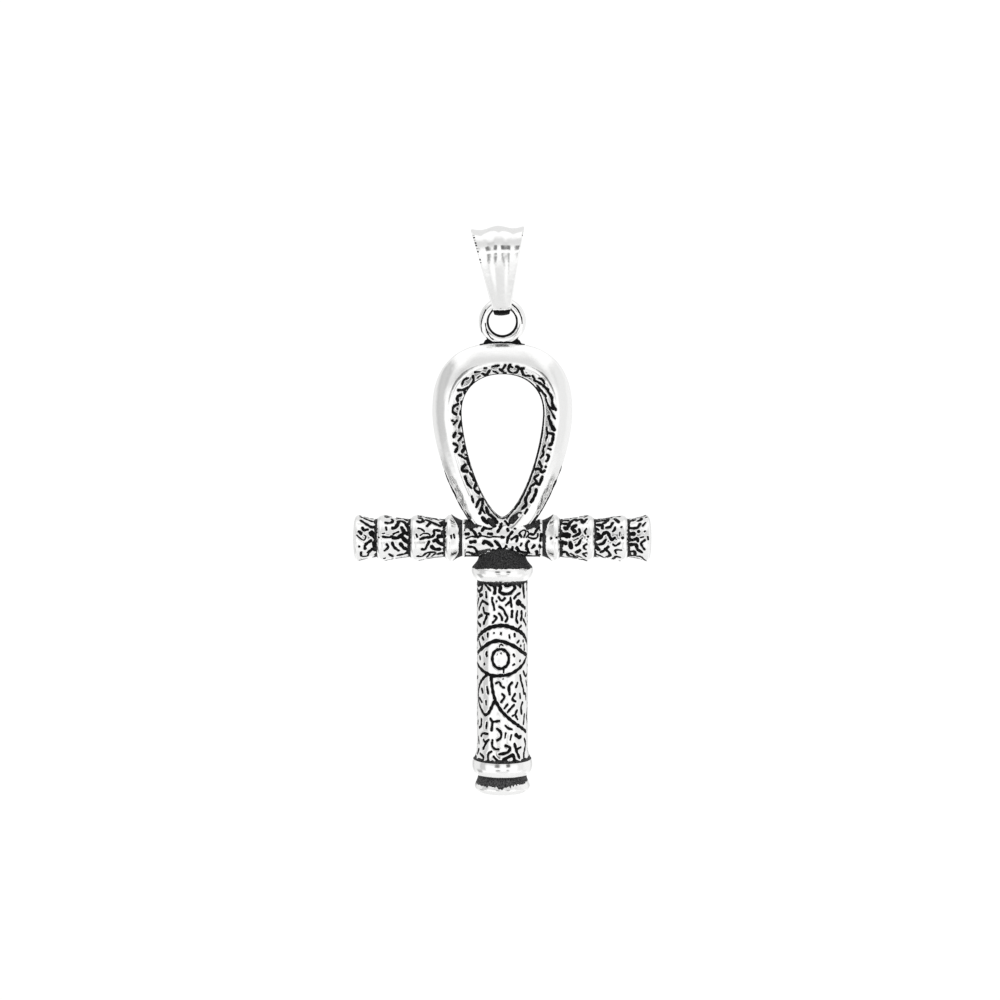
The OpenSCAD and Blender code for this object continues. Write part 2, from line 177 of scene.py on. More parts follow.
LEFT_STROKES: tuple[Stroke, ...] = (
    (0.09, ((14.8, 79), (14.18, 72), (13.63, 66))), (0.11, ((14.76, 59), (14.22, 50), (13.6, 41), (13.22, 46))),
    (0.11, ((14.58, 35), (14.42, 29), (14.05, 32))), (0.13, ((14.93, 23), (14.72, 19))),
    (0.06, ((15.16, 14), (14.86, 7), (14.41, 1), (14.22, 11), (14.41, 15))), (0.23, ((13.66, 21), (13.24, 12))),
    (0.11, ((13.7, -1), (14.19, -10), (14.35, -17), (14.32, -24))), (0.08, ((14.91, -16),)),
    (0.09, ((14.74, -34), (14.73, -49), (14.17, -56), (14, -46))), (0.13, ((13.6, -29), (13.99, -39))),
    (0.17, ((13.36, -9), (13.33, -30))), (0.1, ((12.17, 76), (11.96, 80))),
    (0.1, ((12.18, 50), (11.65, 52), (11.44, 64), (11.56, 69))),
    (0.13, ((11.41, 35), (11.14, 38), (10.93, 52), (10.79, 65), (10.41, 65), (10.09, 55), (9.77, 35))),
    (0.09, ((10.99, 96), (10.45, 96), (9.96, 72))), (0.09, ((12.13, 35), (12.08, 28))),
    (0.05, ((12.5, 18), (12.27, 19))), (0.09, ((12.42, 10), (12.04, 9), (11.66, 9))),
    (0.14, ((11.58, 10), (10.98, 7), (10.52, 16), (10.22, 23))), (0.07, ((11.36, 18), (10.83, 25))),
    (0.15, ((10.5, 39), (10.22, 25), (9.84, 20))), (0.15, ((10.41, 9), (10.14, 0), (9.76, -9))),
    (0.1, ((12.04, -10), (11.9, -18), (12.28, -27))), (0.11, ((11.47, -7), (11.29, -19), (10.84, -32))),
    (0.14, ((10.6, -11), (10.23, -25), (9.78, -30))), (0.1, ((11.81, -41), (11.48, -55))),
    (0.11, ((10.95, -53), (10.25, -49), (9.78, -39))), (0.08, ((12.32, -56),)), (0.06, ((12.8, 8),)),
    (0.11, ((8.85, 53), (8.55, 52), (8.29, 59), (8.45, 69), (8.72, 68))), (0.07, ((8.49, 96), (8.29, 96))),
    (0.08, ((7.83, 96), (7.28, 86), (6.74, 76))), (0.11, ((7.95, 66), (7.49, 61), (7.02, 53), (6.48, 46))),
    (0.11, ((7.56, 54), (7.86, 42))), (0.07, ((8.76, 32), (8.46, 31), (8.15, 25))),
    (0.08, ((8.96, 16), (8.87, 10))), (0.06, ((8.53, 14), (8.22, 19), (7.77, 19), (7.54, 15))),
    (0.11, ((8.53, 4), (8.07, 8), (7.39, 10), (7.12, 18), (7.09, 30), (6.55, 29))),
    (0.15, ((6.66, 12), (5.93, 12))), (0.1, ((8.38, -24), (8.08, -25), (7.85, -14), (7.65, -4))),
    (0.14, ((7.16, -2), (6.85, 0), (6.55, -9), (6.02, -14))), (0.14, ((7.36, -19), (7.02, -28), (6.56, -29))),
    (0.09, ((8.86, -45), (8.41, -50), (7.94, -39), (7.48, -38), (7.02, -40))), (0.08, ((7.88, -58), (7.64, -46))),
    (0.08, ((7.38, -58), (7.03, -47))), (0.11, ((6.72, -49), (6.03, -43))), (0.07, ((5.35, 13), (5.33, 7))),
    (0.09, ((5.08, 15), (5.02, 8))), (0.23, ((6.34, 57), (5.94, 46))),
)
RIGHT_STROKES: tuple[Stroke, ...] = (
    (0.09, ((5.11, 6),)), (0.08, ((5.62, 8),)), (0.11, ((6.25, 73), (6.86, 72))),
    (0.14, ((6.53, 39), (6.76, 37), (7.16, 60), (7.63, 73))),
    (0.12, ((7.78, 65), (8.24, 67), (8.45, 52), (8.8, 62))), (0.05, ((8.63, 76), (8.94, 80))),
    (0.15, ((7.68, 45), (7.3, 36), (7.56, 26))), (0.11, ((8.02, 31), (8.09, 21), (7.75, 15), (7.4, 11))),
    (0.08, ((8.78, 31), (8.6, 24), (8.69, 17))), (0.21, ((6.3, 17), (6.95, 14))), (0.05, ((7.44, 0), (7.9, 6))),
    (0.07, ((8.31, 6),)), (0.08, ((8.92, 10),)), (0.05, ((8.81, 2),)),
    (0.11, ((8.16, 1), (7.94, -10), (7.71, -14))), (0.19, ((7.1, -8), (7.18, -22))),
    (0.09, ((8.77, -9), (8.51, -14), (8.55, -21), (8.72, -23))), (0.17, ((6.3, -7), (6.6, -9))),
    (0.13, ((8.1, -28), (7.76, -37))), (0.12, ((6.24, -42), (6.7, -41), (7.02, -61), (7.79, -61))),
    (0.08, ((7.16, -45), (7.63, -56))), (0.06, ((7.85, -51), (8.24, -56))),
    (0.09, ((8.79, -34), (8.45, -39), (8.73, -48))), (0.08, ((8.12, -83), (8.49, -70), (8.76, -72))),
    (0.12, ((6.24, 57), (6.77, 53))), (0.11, ((9.7, 68), (10.63, 71), (11.09, 74))),
    (0.11, ((10.57, 55), (11.04, 65))), (0.13, ((9.69, 52), (10.37, 48), (10.44, 37))),
    (0.08, ((9.71, 38), (10.05, 32))), (0.11, ((10.86, 38), (11.27, 40), (11.52, 52))),
    (0.11, ((11.73, 70), (12.16, 52))), (0.09, ((11.77, 37), (11.72, 30), (11.53, 25))), (0.07, ((12.41, 35),)),
    (0.18, ((9.7, 19), (10.04, 15))),
    (0.13, ((9.66, 3), (10.2, 7), (10.58, 20), (10.96, 23), (11.15, 13), (11.37, 3), (11.71, 7))),
    (0.05, ((12.25, 22), (12.2, 12))), (0.1, ((12.51, 7),)), (0.11, ((10.8, 2), (10.5, -9), (10.12, -13))),
    (0.05, ((11.03, -3),)), (0.06, ((11.86, 3),)), (0.08, ((11.53, -10), (11.79, -14), (12.24, -6))),
    (0.12, ((11.04, -19), (10.67, -31), (10.3, -41))),
    (0.12, ((10.74, -28), (11.13, -38), (11.26, -51), (10.94, -64))),
    (0.08, ((12.41, -25), (11.8, -27), (11.89, -38))), (0.17, ((9.75, -19), (10.06, -30))),
    (0.09, ((9.7, -50), (10.33, -63), (10.74, -83))), (0.1, ((11.55, -83), (11.84, -53), (12.29, -51))),
    (0.11, ((13.23, 68), (13.85, 73))), (0.11, ((14.22, 64), (14.53, 67), (14.55, 76))),
    (0.11, ((13.27, 39), (14.03, 37), (14.38, 49))), (0.08, ((14.95, 50), (14.68, 42))),
    (0.15, ((13.22, 20), (13.71, 19))), (0.13, ((14.21, 25),)), (0.08, ((14.85, 24),)),
    (0.12, ((13.22, 3), (13.56, 1), (14.05, 5), (14.13, -2))), (0.06, ((14.39, 8), (14.69, 10))),
    (0.08, ((15.14, 10), (15.18, 3))), (0.1, ((14.84, 1), (14.47, -9), (14.82, -24))),
    (0.13, ((13.26, -14), (13.94, -13), (14.11, -27), (14.57, -35))),
    (0.11, ((13.36, -39), (13.82, -37), (13.84, -55), (13.47, -59))),
    (0.09, ((14.08, -58), (14.53, -56), (15.04, -77))), (0.1, ((13.59, -83), (14.28, -83))), (0.08, ((15.07, 71),)),
)
# Places on the loop's front bevel: distance from its middle, and height.
LOOP_STROKES: tuple[Stroke, ...] = (
    (0.11, ((-1.02, 18.09), (-0.38, 18.21))), (0.11, ((-0.96, 17.63), (-0.5, 17.43))),
    (0.12, ((-0.29, 17.86), (0.02, 17.84), (0.29, 18.21))), (0.13, ((-0.24, 17.79), (0.08, 17.52), (0.34, 17.42))),
    (0.13, ((0.8, 18.28), (0.6, 17.77), (0.95, 17.45), (1.45, 17.49), (1.68, 17.96), (1.41, 18.09))),
    (0.1, ((0.78, 18.28), (1.01, 18))), (0.15, ((1.82, 17.86), (2.19, 17.89))),
    (0.15, ((2.03, 17.65), (2.28, 17.15), (2.8, 17.17))), (0.12, ((3.15, 17.15), (3.44, 16.65))),
    (0.15, ((3.38, 16.65), (3.91, 16.36), (4.28, 16.1), (4.72, 15.66))),
    (0.1, ((3.79, 16.88), (4.16, 16.76), (4.35, 16.36))), (0.15, ((3.7, 16.07), (4.08, 15.55), (4.55, 14.99))),
    (0.13, ((4.72, 15.55), (5.13, 14.91), (5.21, 14.15), (5.59, 13.57))),
    (0.12, ((4.55, 14.73), (4.86, 13.92), (5.42, 13.67))), (0.1, ((4.86, 13.86), (5.48, 12.67))),
    (0.17, ((4.84, 12.88), (5.07, 12.06), (5.4, 11.5))), (0.12, ((4.63, 11.71), (4.7, 10.96), (4.53, 10.34))),
    (0.13, ((4.73, 11.15), (5.31, 11.01), (5.25, 10.26), (4.87, 9.87))),
    (0.13, ((4.44, 9.85), (4.27, 9.38), (4.34, 9.01), (4.01, 8.54))), (0.11, ((4.79, 9.59), (5.15, 9.45))),
    (0.12, ((4.67, 8.92), (4.94, 8.6), (4.59, 8.22))), (0.16, ((3.9, 8.1), (4.11, 7.66))), (0.1, ((4.56, 7.61),)),
    (0.14, ((3.55, 7.34), (3.92, 7.4), (4.13, 7.1), (4.41, 7.23))),
    (0.12, ((-3.57, 16.88), (-3.97, 16.71), (-4.18, 16.22))),
    (0.13, ((-3.04, 17.11), (-3.02, 16.59), (-3.39, 16.07), (-3.97, 15.69), (-4.61, 15.64))),
    (0.12, ((-3.95, 15.66), (-3.97, 15.29))), (0.11, ((-2.81, 17.52), (-2.37, 17.56))),
    (0.11, ((-2.6, 16.91), (-2.33, 17.1))), (0.1, ((-1.91, 17.91), (-1.63, 17.93))),
    (0.15, ((-2.06, 17.38), (-1.65, 17.23), (-1.31, 17.72))),
    (0.16, ((-4.32, 15.11), (-4.72, 14.97), (-4.67, 14.53))), (0.13, ((-4.3, 14.39), (-4.3, 14.13))),
    (0.13, ((-4.61, 14.15), (-5.08, 13.92), (-5.14, 13.36), (-4.79, 13.08))), (0.1, ((-4.71, 13.67),)),
    (0.13, ((-4.35, 13.36), (-4.44, 13.08))), (0.1, ((-5.25, 12.5), (-5.14, 12.43))),
    (0.12, ((-4.73, 12.47), (-5.05, 12.09))), (0.13, ((-4.33, 12.35), (-4.56, 11.69))),
    (0.15, ((-4.91, 11.13), (-5.08, 10.76))),
    (0.13, ((-4.54, 11.07), (-4.27, 11.01), (-4.33, 10.67), (-4.59, 10.36))), (0.09, ((-4.18, 10.14),)),
    (0.12, ((-5.05, 10.08), (-4.64, 9.79), (-4.89, 9.22))), (0.12, ((-4.56, 8.92), (-3.96, 8.49))),
    (0.16, ((-4.08, 9.73), (-3.98, 9.5), (-4.22, 9.17))), (0.1, ((-3.93, 8.87), (-3.7, 8.78))),
    (0.14, ((-3.78, 8.45), (-3.54, 7.84))), (0.15, ((-3.87, 7.81), (-4.16, 7.58), (-4.16, 7.23), (-3.68, 7.17))),
    (0.13, ((-3.4, 7.58), (-3.27, 7.33))), (0.13, ((-3.41, 6.93), (-3.1, 6.49))),
    (0.13, ((-3.89, 6.64), (-3.7, 6), (-3.27, 5.46))),
    (0.15, ((-3.03, 6.23), (-2.71, 5.94), (-2.94, 5.3), (-2.48, 4.81))), (0.1, ((-3.2, 4.59), (-3.02, 3.94))),
    (0.14, ((-2.07, 4.18), (-2.48, 4.07), (-2.69, 3.45))), (0.13, ((-2.07, 3.95), (-2.19, 3.31), (-2.36, 2.81))),
    (0.13, ((-2.19, 3.31), (-1.87, 2.81))), (0.17, ((-1.69, 3.31), (-1.52, 2.72), (-1.08, 2.37), (-0.59, 1.78))),
    (0.17, ((-2.11, 2.31), (-1.72, 1.92), (-1.31, 1.78), (-0.82, 1.41))),
    (0.13, ((3.81, 6.82), (3.34, 6.41), (3.57, 6), (2.99, 5.53), (2.92, 4.92))),
    (0.13, ((3.58, 5.94), (3.92, 5.82), (4.23, 6.58))), (0.13, ((3.54, 5.27), (3.46, 4.71), (2.97, 3.92))),
    (0.17, ((2.82, 4.92), (2.47, 4.24), (2.47, 3.66), (2.09, 3.28))), (0.1, ((2.71, 3.13), (2.39, 2.7))),
    (0.07, ((3.4, 7.63), (2.99, 6.47), (2.41, 5.12), (1.81, 3.72), (1.07, 2.84), (0.49, 2.13))),
    (0.12, ((0.32, 1.88), (0.64, 1.52))), (0.11, ((-0.1, 1.64), (-0.15, 1.2), (-0.45, 0.78))),
)


# Shapes in the plane


def mix(a: float, b: float, share: float) -> float:
    """Value between a and b at a share of the way."""
    return a + (b - a) * share


def catmull(points: Sequence[Point], steps: int) -> list[Point]:
    """Smooth curve through points.

    Args:
        points: Places that the curve passes.
        steps: Steps between two of them.

    Returns:
        The curve's points, the last place included.
    """
    rows = [np.array(p, float) for p in points]
    out: list[Point] = []
    for i in range(len(rows) - 1):
        a, b, c, d = rows[max(i - 1, 0)], rows[i], rows[i + 1], rows[min(i + 2, len(rows) - 1)]
        for k in range(steps):
            t = k / steps
            p = 0.5 * (2 * b + (c - a) * t + (2 * a - 5 * b + 4 * c - d) * t * t + (3 * b - a - 3 * c + d) * t**3)
            out.append((float(p[0]), float(p[1])))
    out.append((float(rows[-1][0]), float(rows[-1][1])))
    return out


def resample(points: Sequence[Point], step: float) -> np.ndarray:
    """Even points along a line.

    Args:
        points: Corners of the line.
        step: Wanted distance between two points.

    Returns:
        An array of points, both ends included.
    """
    line = np.array(points, float)
    keep = np.r_[True, np.linalg.norm(np.diff(line, axis=0), axis=1) > 1e-7]
    line = line[keep]
    run = np.r_[0, np.cumsum(np.linalg.norm(np.diff(line, axis=0), axis=1))]
    at = np.linspace(0, run[-1], max(2, int(round(run[-1] / step)) + 1))
    return np.stack([np.interp(at, run, line[:, k]) for k in range(line.shape[1])], 1)


def ripple(u: np.ndarray, period: float, seed: int, waves: int = 9, low: int = 2) -> np.ndarray:
    """Uneven line that repeats after a period, about -1 to 1.

    Args:
        u: Places along the line.
        period: Length after which it repeats.
        seed: Chooses the line.
        waves: Number of waves that are added up.
        low: Number of periods of the longest wave.

    Returns:
        The line's height at each place.
    """
    rng = np.random.default_rng(seed)
    total = np.zeros_like(u)
    size = 0.0
    for k in range(waves):
        n = low + k * 3 + int(rng.integers(0, 3))
        amount = 1 / (1 + 0.35 * k)
        total += amount * np.sin(2 * math.pi * (n * u / period + rng.random()))
        size += amount
    return total / size * 1.8


def smooth(x: np.ndarray) -> np.ndarray:
    """Smooth step of values that are cut to 0 and 1."""
    x = np.clip(x, 0, 1)
    return x * x * (3 - 2 * x)


def round_turns(columns: int) -> np.ndarray:
    """Turns of evenly spaced places round a circle, in radians."""
    return 2 * math.pi * np.arange(columns) / columns


# Skins: fine grids that hold marks


class Skin:
    """A grid of surface points in millimetres, with each point's distance from the black.

    Rows run along the piece and columns round it. Ink is below 0 in the black and above 0 outside it. Broad is 1 in
    wide dull places and 0 in narrow marks.
    """

    SLOPE = 0.08  # width of a groove's side
    DULL = 0.12  # how far inside a broad place it is fully dull
    SHALLOW = 0.6  # how much less deep a broad place is than a groove

    def __init__(self, points: np.ndarray, closed_columns: bool = True, closed_rows: bool = False) -> None:
        """Keeps the grid and measures its cells.

        Args:
            points: Rows by columns of surface points.
            closed_columns: Whether the last column meets the first.
            closed_rows: Whether the last row meets the first.
        """
        self.points = points
        self.closed_columns = closed_columns
        self.closed_rows = closed_rows
        self.rows, self.columns = points.shape[:2]
        self.ink = np.full(points.shape[:2], 1.0)
        self.broad = np.zeros(points.shape[:2])
        self.row_mm = self._steps(0, closed_rows).tolist()
        self.column_mm = self._steps(1, closed_columns).tolist()
        self._list = points.tolist()

    def _steps(self, axis: int, closed: bool) -> np.ndarray:
        """Distance from each point to the next along an axis.

        Args:
            axis: 0 along the rows, 1 along the columns.
            closed: Whether the last point meets the first.

        Returns:
            The distances, one for each point.
        """
        ahead = np.roll(self.points, -1, axis)
        step = np.linalg.norm(ahead - self.points, axis=2)
        if not closed:
            if axis == 0:
                step[-1] = step[-2]
            else:
                step[:, -1] = step[:, -2]
        return np.maximum(step, 1e-4)

    def wrap(self, i: float, j: float) -> tuple[float, float] | None:
        """The place inside the grid, or None if it is off an open edge.

        Args:
            i: Row, whole or between two.
            j: Column, whole or between two.

        Returns:
            The row and the column, turned round a closed side.
        """
        if self.closed_rows:
            i %= self.rows
        elif not 0 <= i <= self.rows - 1:
            return None
        if self.closed_columns:
            j %= self.columns
        elif not 0 <= j <= self.columns - 1:
            return None
        return i, j

    def place(self, i: float, j: float) -> Place:
        """Surface point at a place in the grid.

        Args:
            i: Row, whole or between two.
            j: Column, whole or between two.

        Returns:
            The point, in millimetres.
        """
        i0, j0 = int(i), int(j)
        a, b = i - i0, j - j0
        i1 = (i0 + 1) % self.rows if self.closed_rows else min(i0 + 1, self.rows - 1)
        j1 = (j0 + 1) % self.columns if self.closed_columns else min(j0 + 1, self.columns - 1)
        i0, j0 = i0 % self.rows, j0 % self.columns
        p, q, r, s = self._list[i0][j0], self._list[i0][j1], self._list[i1][j0], self._list[i1][j1]
        return tuple((p[k] * (1 - b) + q[k] * b) * (1 - a) + (r[k] * (1 - b) + s[k] * b) * a for k in range(3))

    def normals(self) -> np.ndarray:
        """Unit normal at each point, outward where columns turn to the right of rows.

        Returns:
            An array like the points.
        """
        if self.closed_rows:
            along = np.roll(self.points, -1, 0) - np.roll(self.points, 1, 0)
        else:
            along = np.gradient(self.points, axis=0)
        if self.closed_columns:
            across = np.roll(self.points, -1, 1) - np.roll(self.points, 1, 1)
        else:
            across = np.gradient(self.points, axis=1)
        n = np.cross(across, along)
        return n / np.maximum(np.linalg.norm(n, axis=2, keepdims=True), 1e-12)

    def blacken(self, distance: np.ndarray, broad: float = 0.55) -> None:
        """Adds a black place given by its distance from every point; broad is how dull and grey it is."""
        self.broad = np.where(distance < 0, np.maximum(self.broad, broad * smooth(-distance / self.DULL)), self.broad)
        self.ink = np.minimum(self.ink, distance)

    def bare(self, islands: Iterable[Place]) -> None:
        """Leaves round places of bare steel in the black, each given by its x, its height and its radius."""
        for x, z, radius in islands:
            self.ink = np.maximum(self.ink, radius - np.hypot(self.points[:, :, 0] - x, self.points[:, :, 2] - z))

    def stamp(self, marks: "Marks") -> None:
        """Adds the grooves of all marks.

        Args:
            marks: The marks, drawn and grown.
        """
        if not marks.points:
            return
        tree = KDTree(len(marks.points))
        for k, p in enumerate(marks.points):
            tree.insert(p, k)
        tree.balance()
        flat = self.points.reshape(-1, 3)
        found = np.empty(len(flat))
        for k, p in enumerate(flat.tolist()):
            _, index, distance = tree.find(p)
            found[k] = distance - marks.widths[index]
        self.ink = np.minimum(self.ink, found.reshape(self.ink.shape))

    def carve(self, depth: float) -> None:
        """Sinks the black places below the surface."""
        sunk = smooth(0.5 - self.ink / self.SLOPE) * depth * (1 - self.SHALLOW * self.broad)
        self.points = self.points - self.normals() * sunk[:, :, None]


class Marks:
    """Grooves that meander over a skin without touching: each is a walk that turns a little at every step."""

    STEP = 0.07  # length of a step
    CELL = 0.62  # size of a cell in the table that finds near marks
    SWELL = 0.13  # how much a mark's width swells and shrinks
    ASIDE = (0.0, 0.5, -0.5, 1.0, -1.0)  # turns that are tried when a way is closed
    DRAWN_STEP = 0.05
    FRONT_DEPTH = 2.6  # drawn strokes are widened where they lie less far forward than this

    def __init__(self, seed: int, low: float = 0.1, high: float = 0.145) -> None:
        """Starts with no marks.

        Args:
            seed: Chooses the marks.
            low: Least half width of a grown mark.
            high: Greatest half width of a grown mark.
        """
        self.rng = random.Random(seed)
        self.low, self.high = low, high
        self.points: list[Place] = []
        self.widths: list[float] = []
        self._cells: dict[tuple[int, int, int], list[tuple[float, float, float, int]]] = {}
        self._count = 0

    def _near(self, p: Place, room: float, own: int) -> bool:
        """Looks for another mark within room of the point.

        Args:
            p: The point.
            room: Distance to keep free.
            own: Number of the mark that may be near.

        Returns:
            Whether another mark is too near.
        """
        cx, cy, cz = (int(math.floor(v / self.CELL)) for v in p)
        limit = room * room
        for ix in (cx - 1, cx, cx + 1):
            for iy in (cy - 1, cy, cy + 1):
                for iz in (cz - 1, cz, cz + 1):
                    for x, y, z, mark in self._cells.get((ix, iy, iz), ()):
                        if mark != own and (x - p[0]) ** 2 + (y - p[1]) ** 2 + (z - p[2]) ** 2 < limit:
                            return True
        return False

    def _keep(self, walk: Sequence[Place], width: float, mark: int) -> None:
        """Stores a walk's points and lets its width swell and shrink.

        Args:
            walk: The points.
            width: Mean half width.
            mark: Number of the mark.
        """
        phase, rate = self.rng.uniform(0, 6.3), self.rng.uniform(0.25, 0.6)
        for k, p in enumerate(walk):
            self.points.append(p)
            self.widths.append(width * (1 + self.SWELL * math.sin(phase + k * rate)))
            cell = tuple(int(math.floor(v / self.CELL)) for v in p)
            self._cells.setdefault(cell, []).append((*p, mark))

    def draw(
        self,
        strokes: Iterable[Stroke],
        place: Callable[[float, float], Place],
        scale: Point = (1.0, 1.0),
        wide: Point = (1.0, 0.0),
    ) -> None:
        """Adds drawn strokes.

        Args:
            strokes: The strokes.
            place: Gives the surface point at a place of a stroke.
            scale: Millimetres of one unit of each number of a place.
            wide: Factor of the half widths, and what is added to them far from the front.
        """
        for width, places in strokes:
            rows = [(a * scale[0], b * scale[1]) for a, b in places]
            if len(rows) == 1:
                rows.append((rows[0][0] + 0.02, rows[0][1] + 0.02))
            even = resample(catmull(rows, 6), self.DRAWN_STEP)
            self._count += 1
            walk = [place(a / scale[0], b / scale[1]) for a, b in even.tolist()]
            front = max(abs(p[1]) for p in walk)
            self._keep(walk, width * wide[0] + wide[1] * max(0.0, 1 - front / self.FRONT_DEPTH), self._count)

    def _step(
        self, skin: Skin, i: float, j: float, heading: float, room: Callable[[float, float], float], own: int
    ) -> tuple[float, float, float, Place] | None:
        """Finds the next step of a walk, turning aside if something is in the way.

        Args:
            skin: Surface to walk on.
            i: Row that the walk has reached.
            j: Column that the walk has reached.
            heading: Wanted direction in radians, 0 along the columns.
            room: Distance to keep from other marks at a row and column, 0 where no mark may be.
            own: Number of the walk's mark.

        Returns:
            The new row, column, heading and surface point, or None if every way is closed.
        """
        row_mm, column_mm = skin.row_mm[int(i)][int(j)], skin.column_mm[int(i)][int(j)]
        for swing in self.ASIDE:
            turned = heading + swing
            at = skin.wrap(i + math.sin(turned) * self.STEP / row_mm, j + math.cos(turned) * self.STEP / column_mm)
            if at is None:
                continue
            need = room(*at)
            if need > 0:
                p = skin.place(*at)
                if not self._near(p, need, own):
                    return at[0], at[1], turned, p
        return None

    def _walk(
        self, skin: Skin, start: Point, base: float, length: float, room: Callable[[float, float], float], own: int
    ) -> tuple[list[Place], list[Point]]:
        """Walks over the skin in bends to either side until the length is reached or every way is closed.

        Args:
            skin: Surface to walk on.
            start: Row and column to start from.
            base: Mean direction in radians, 0 along the columns.
            length: Length to walk, in millimetres.
            room: Distance to keep from other marks at a row and column, 0 where no mark may be.
            own: Number of the mark that this walk may touch.

        Returns:
            The points passed, and their rows and columns.
        """
        rng = self.rng
        i, j = start
        need = room(i, j)
        first = skin.place(i, j)
        if need <= 0 or self._near(first, need, own):
            return [], []
        out, cells = [first], [start]
        side = rng.choice((-1, 1))
        bend, left = side * rng.uniform(0.1, 0.8), rng.uniform(0.15, 0.5)
        heading, drift = base + bend, rng.gauss(0, 0.5)
        for _ in range(max(2, int(length / self.STEP))):
            left -= self.STEP
            if left < 0:
                side = -side
                bend, left = side * rng.uniform(0.15, 1.15), rng.uniform(0.2, 0.6)
            base += drift * self.STEP
            heading += (base + bend - heading) * 0.45
            step = self._step(skin, i, j, heading, room, own)
            if step is None:
                break
            i, j, heading, p = step
            out.append(p)
            cells.append((i, j))
        return out, cells

    def scatter(
        self,
        skin: Skin,
        rows: Point,
        columns: Point,
        tries: int,
        room: Callable[[float, float], float],
        heading: Point = (ALONG, 0.9),
        lengths: Point = (0.4, 1.7),
        shortest: float = 0.3,
        branch: float = 0.2,
    ) -> None:
        """Grows marks over part of a skin, the long ones first.

        Args:
            skin: Surface to fill.
            rows: First and last row to start from.
            columns: First and last column to start from.
            tries: Number of walks to try.
            room: Distance to keep from other marks at a row and column, 0 where no mark may be.
            heading: Mean direction and greatest turn from it, in radians.
            lengths: Shortest and longest walk.
            shortest: A walk that was cut shorter than this is dropped.
            branch: Chance that a long mark gets a branch.
        """
        rng = self.rng
        for k in range(tries):
            start = rng.uniform(*rows), rng.uniform(*columns)
            length = mix(lengths[1], lengths[0], k / tries) * rng.uniform(0.7, 1.1)
            self._count += 1
            own = self._count
            base = heading[0] + rng.uniform(-1, 1) * heading[1] + rng.choice((0, math.pi))
            walk, cells = self._walk(skin, start, base, length, room, own)
            if len(walk) * self.STEP < min(shortest, length * 0.9):
                continue
            width = rng.uniform(self.low, self.high)
            self._keep(walk, width, own)
            if len(walk) > 9 and rng.random() < branch:
                fork = cells[rng.randrange(3, len(cells) - 3)]
                arm, _ = self._walk(skin, fork, base + rng.choice((-1, 1)) * 1.2, rng.uniform(0.3, 0.7), room, own)
                if len(arm) > 3:
                    self._keep(arm, width * 0.92, own)


# Meshes


def put_mesh(
    name: str, vertices: np.ndarray, faces: Sequence[Sequence[int]], origin: Sequence[float]
) -> bpy.types.Object:
    """Makes a smooth mesh object.

    Args:
        name: Name of the piece.
        vertices: Points in millimetres, in the piece's own frame.
        faces: Corners of each face.
        origin: Where the piece's own frame lies in the row frame, in millimetres.

    Returns:
        The new object, in metres.
    """
    mesh = bpy.data.meshes.new(name)
    mesh.from_pydata(((np.asarray(vertices) + np.asarray(origin)) * MM).tolist(), [], faces)
    mesh.validate()
    mesh.polygons.foreach_set("use_smooth", [True] * len(mesh.polygons))
    mesh.update()
    made = bpy.data.objects.new(name, mesh)
    bpy.context.scene.collection.objects.link(made)
    return made


def put_skin(
    name: str, skin: Skin, origin: Sequence[float], caps: tuple[bool, bool] = (False, False)
) -> bpy.types.Object:
    """Makes a mesh object of a skin, with its ink and broad values.

    Args:
        name: Name of the piece.
        skin: The skin to turn into a mesh.
        origin: Where the skin's frame lies in the row frame, in millimetres.
        caps: Whether the first and the last row are closed with a face.

    Returns:
        The new object.
    """
    rows, columns = skin.rows, skin.columns
    index = np.arange(rows * columns).reshape(rows, columns)
    if skin.closed_columns:
        index = np.concatenate([index, index[:, :1]], 1)
    if skin.closed_rows:
        index = np.concatenate([index, index[:1]], 0)
    quads = np.stack([index[:-1, :-1], index[:-1, 1:], index[1:, 1:], index[1:, :-1]], -1).reshape(-1, 4)
    faces: list[list[int]] = quads.tolist()
    if caps[0]:
        faces.append(list(range(columns))[::-1])
    if caps[1]:
        faces.append(list(range((rows - 1) * columns, rows * columns)))
    made = put_mesh(name, skin.points.reshape(-1, 3), faces, origin)
    for key, values in (("ink", skin.ink), ("broad", skin.broad)):
        layer = made.data.attributes.new(key, "FLOAT", "POINT")
        layer.data.foreach_set("value", values.reshape(-1).astype(np.float32))
    return made


def lathe(profile: np.ndarray, columns: int, axis: str) -> np.ndarray:
    """Grid of points of a turned shape.

    Args:
        profile: Rows of [place along the axis, radius].
        columns: Number of points round the axis; the first faces the front.
        axis: "z" for an upright axis, "x" for one across.

    Returns:
        An array of rows by columns of points.
    """
    turn = round_turns(columns)
    along, radius = profile[:, :1], profile[:, 1:2]
    if axis == "z":
        return np.stack([radius * np.sin(turn), -radius * np.cos(turn), along + 0 * turn], 2)
    return np.stack([along + 0 * turn, -radius * np.cos(turn), radius * np.sin(turn)], 2)


# Finishes


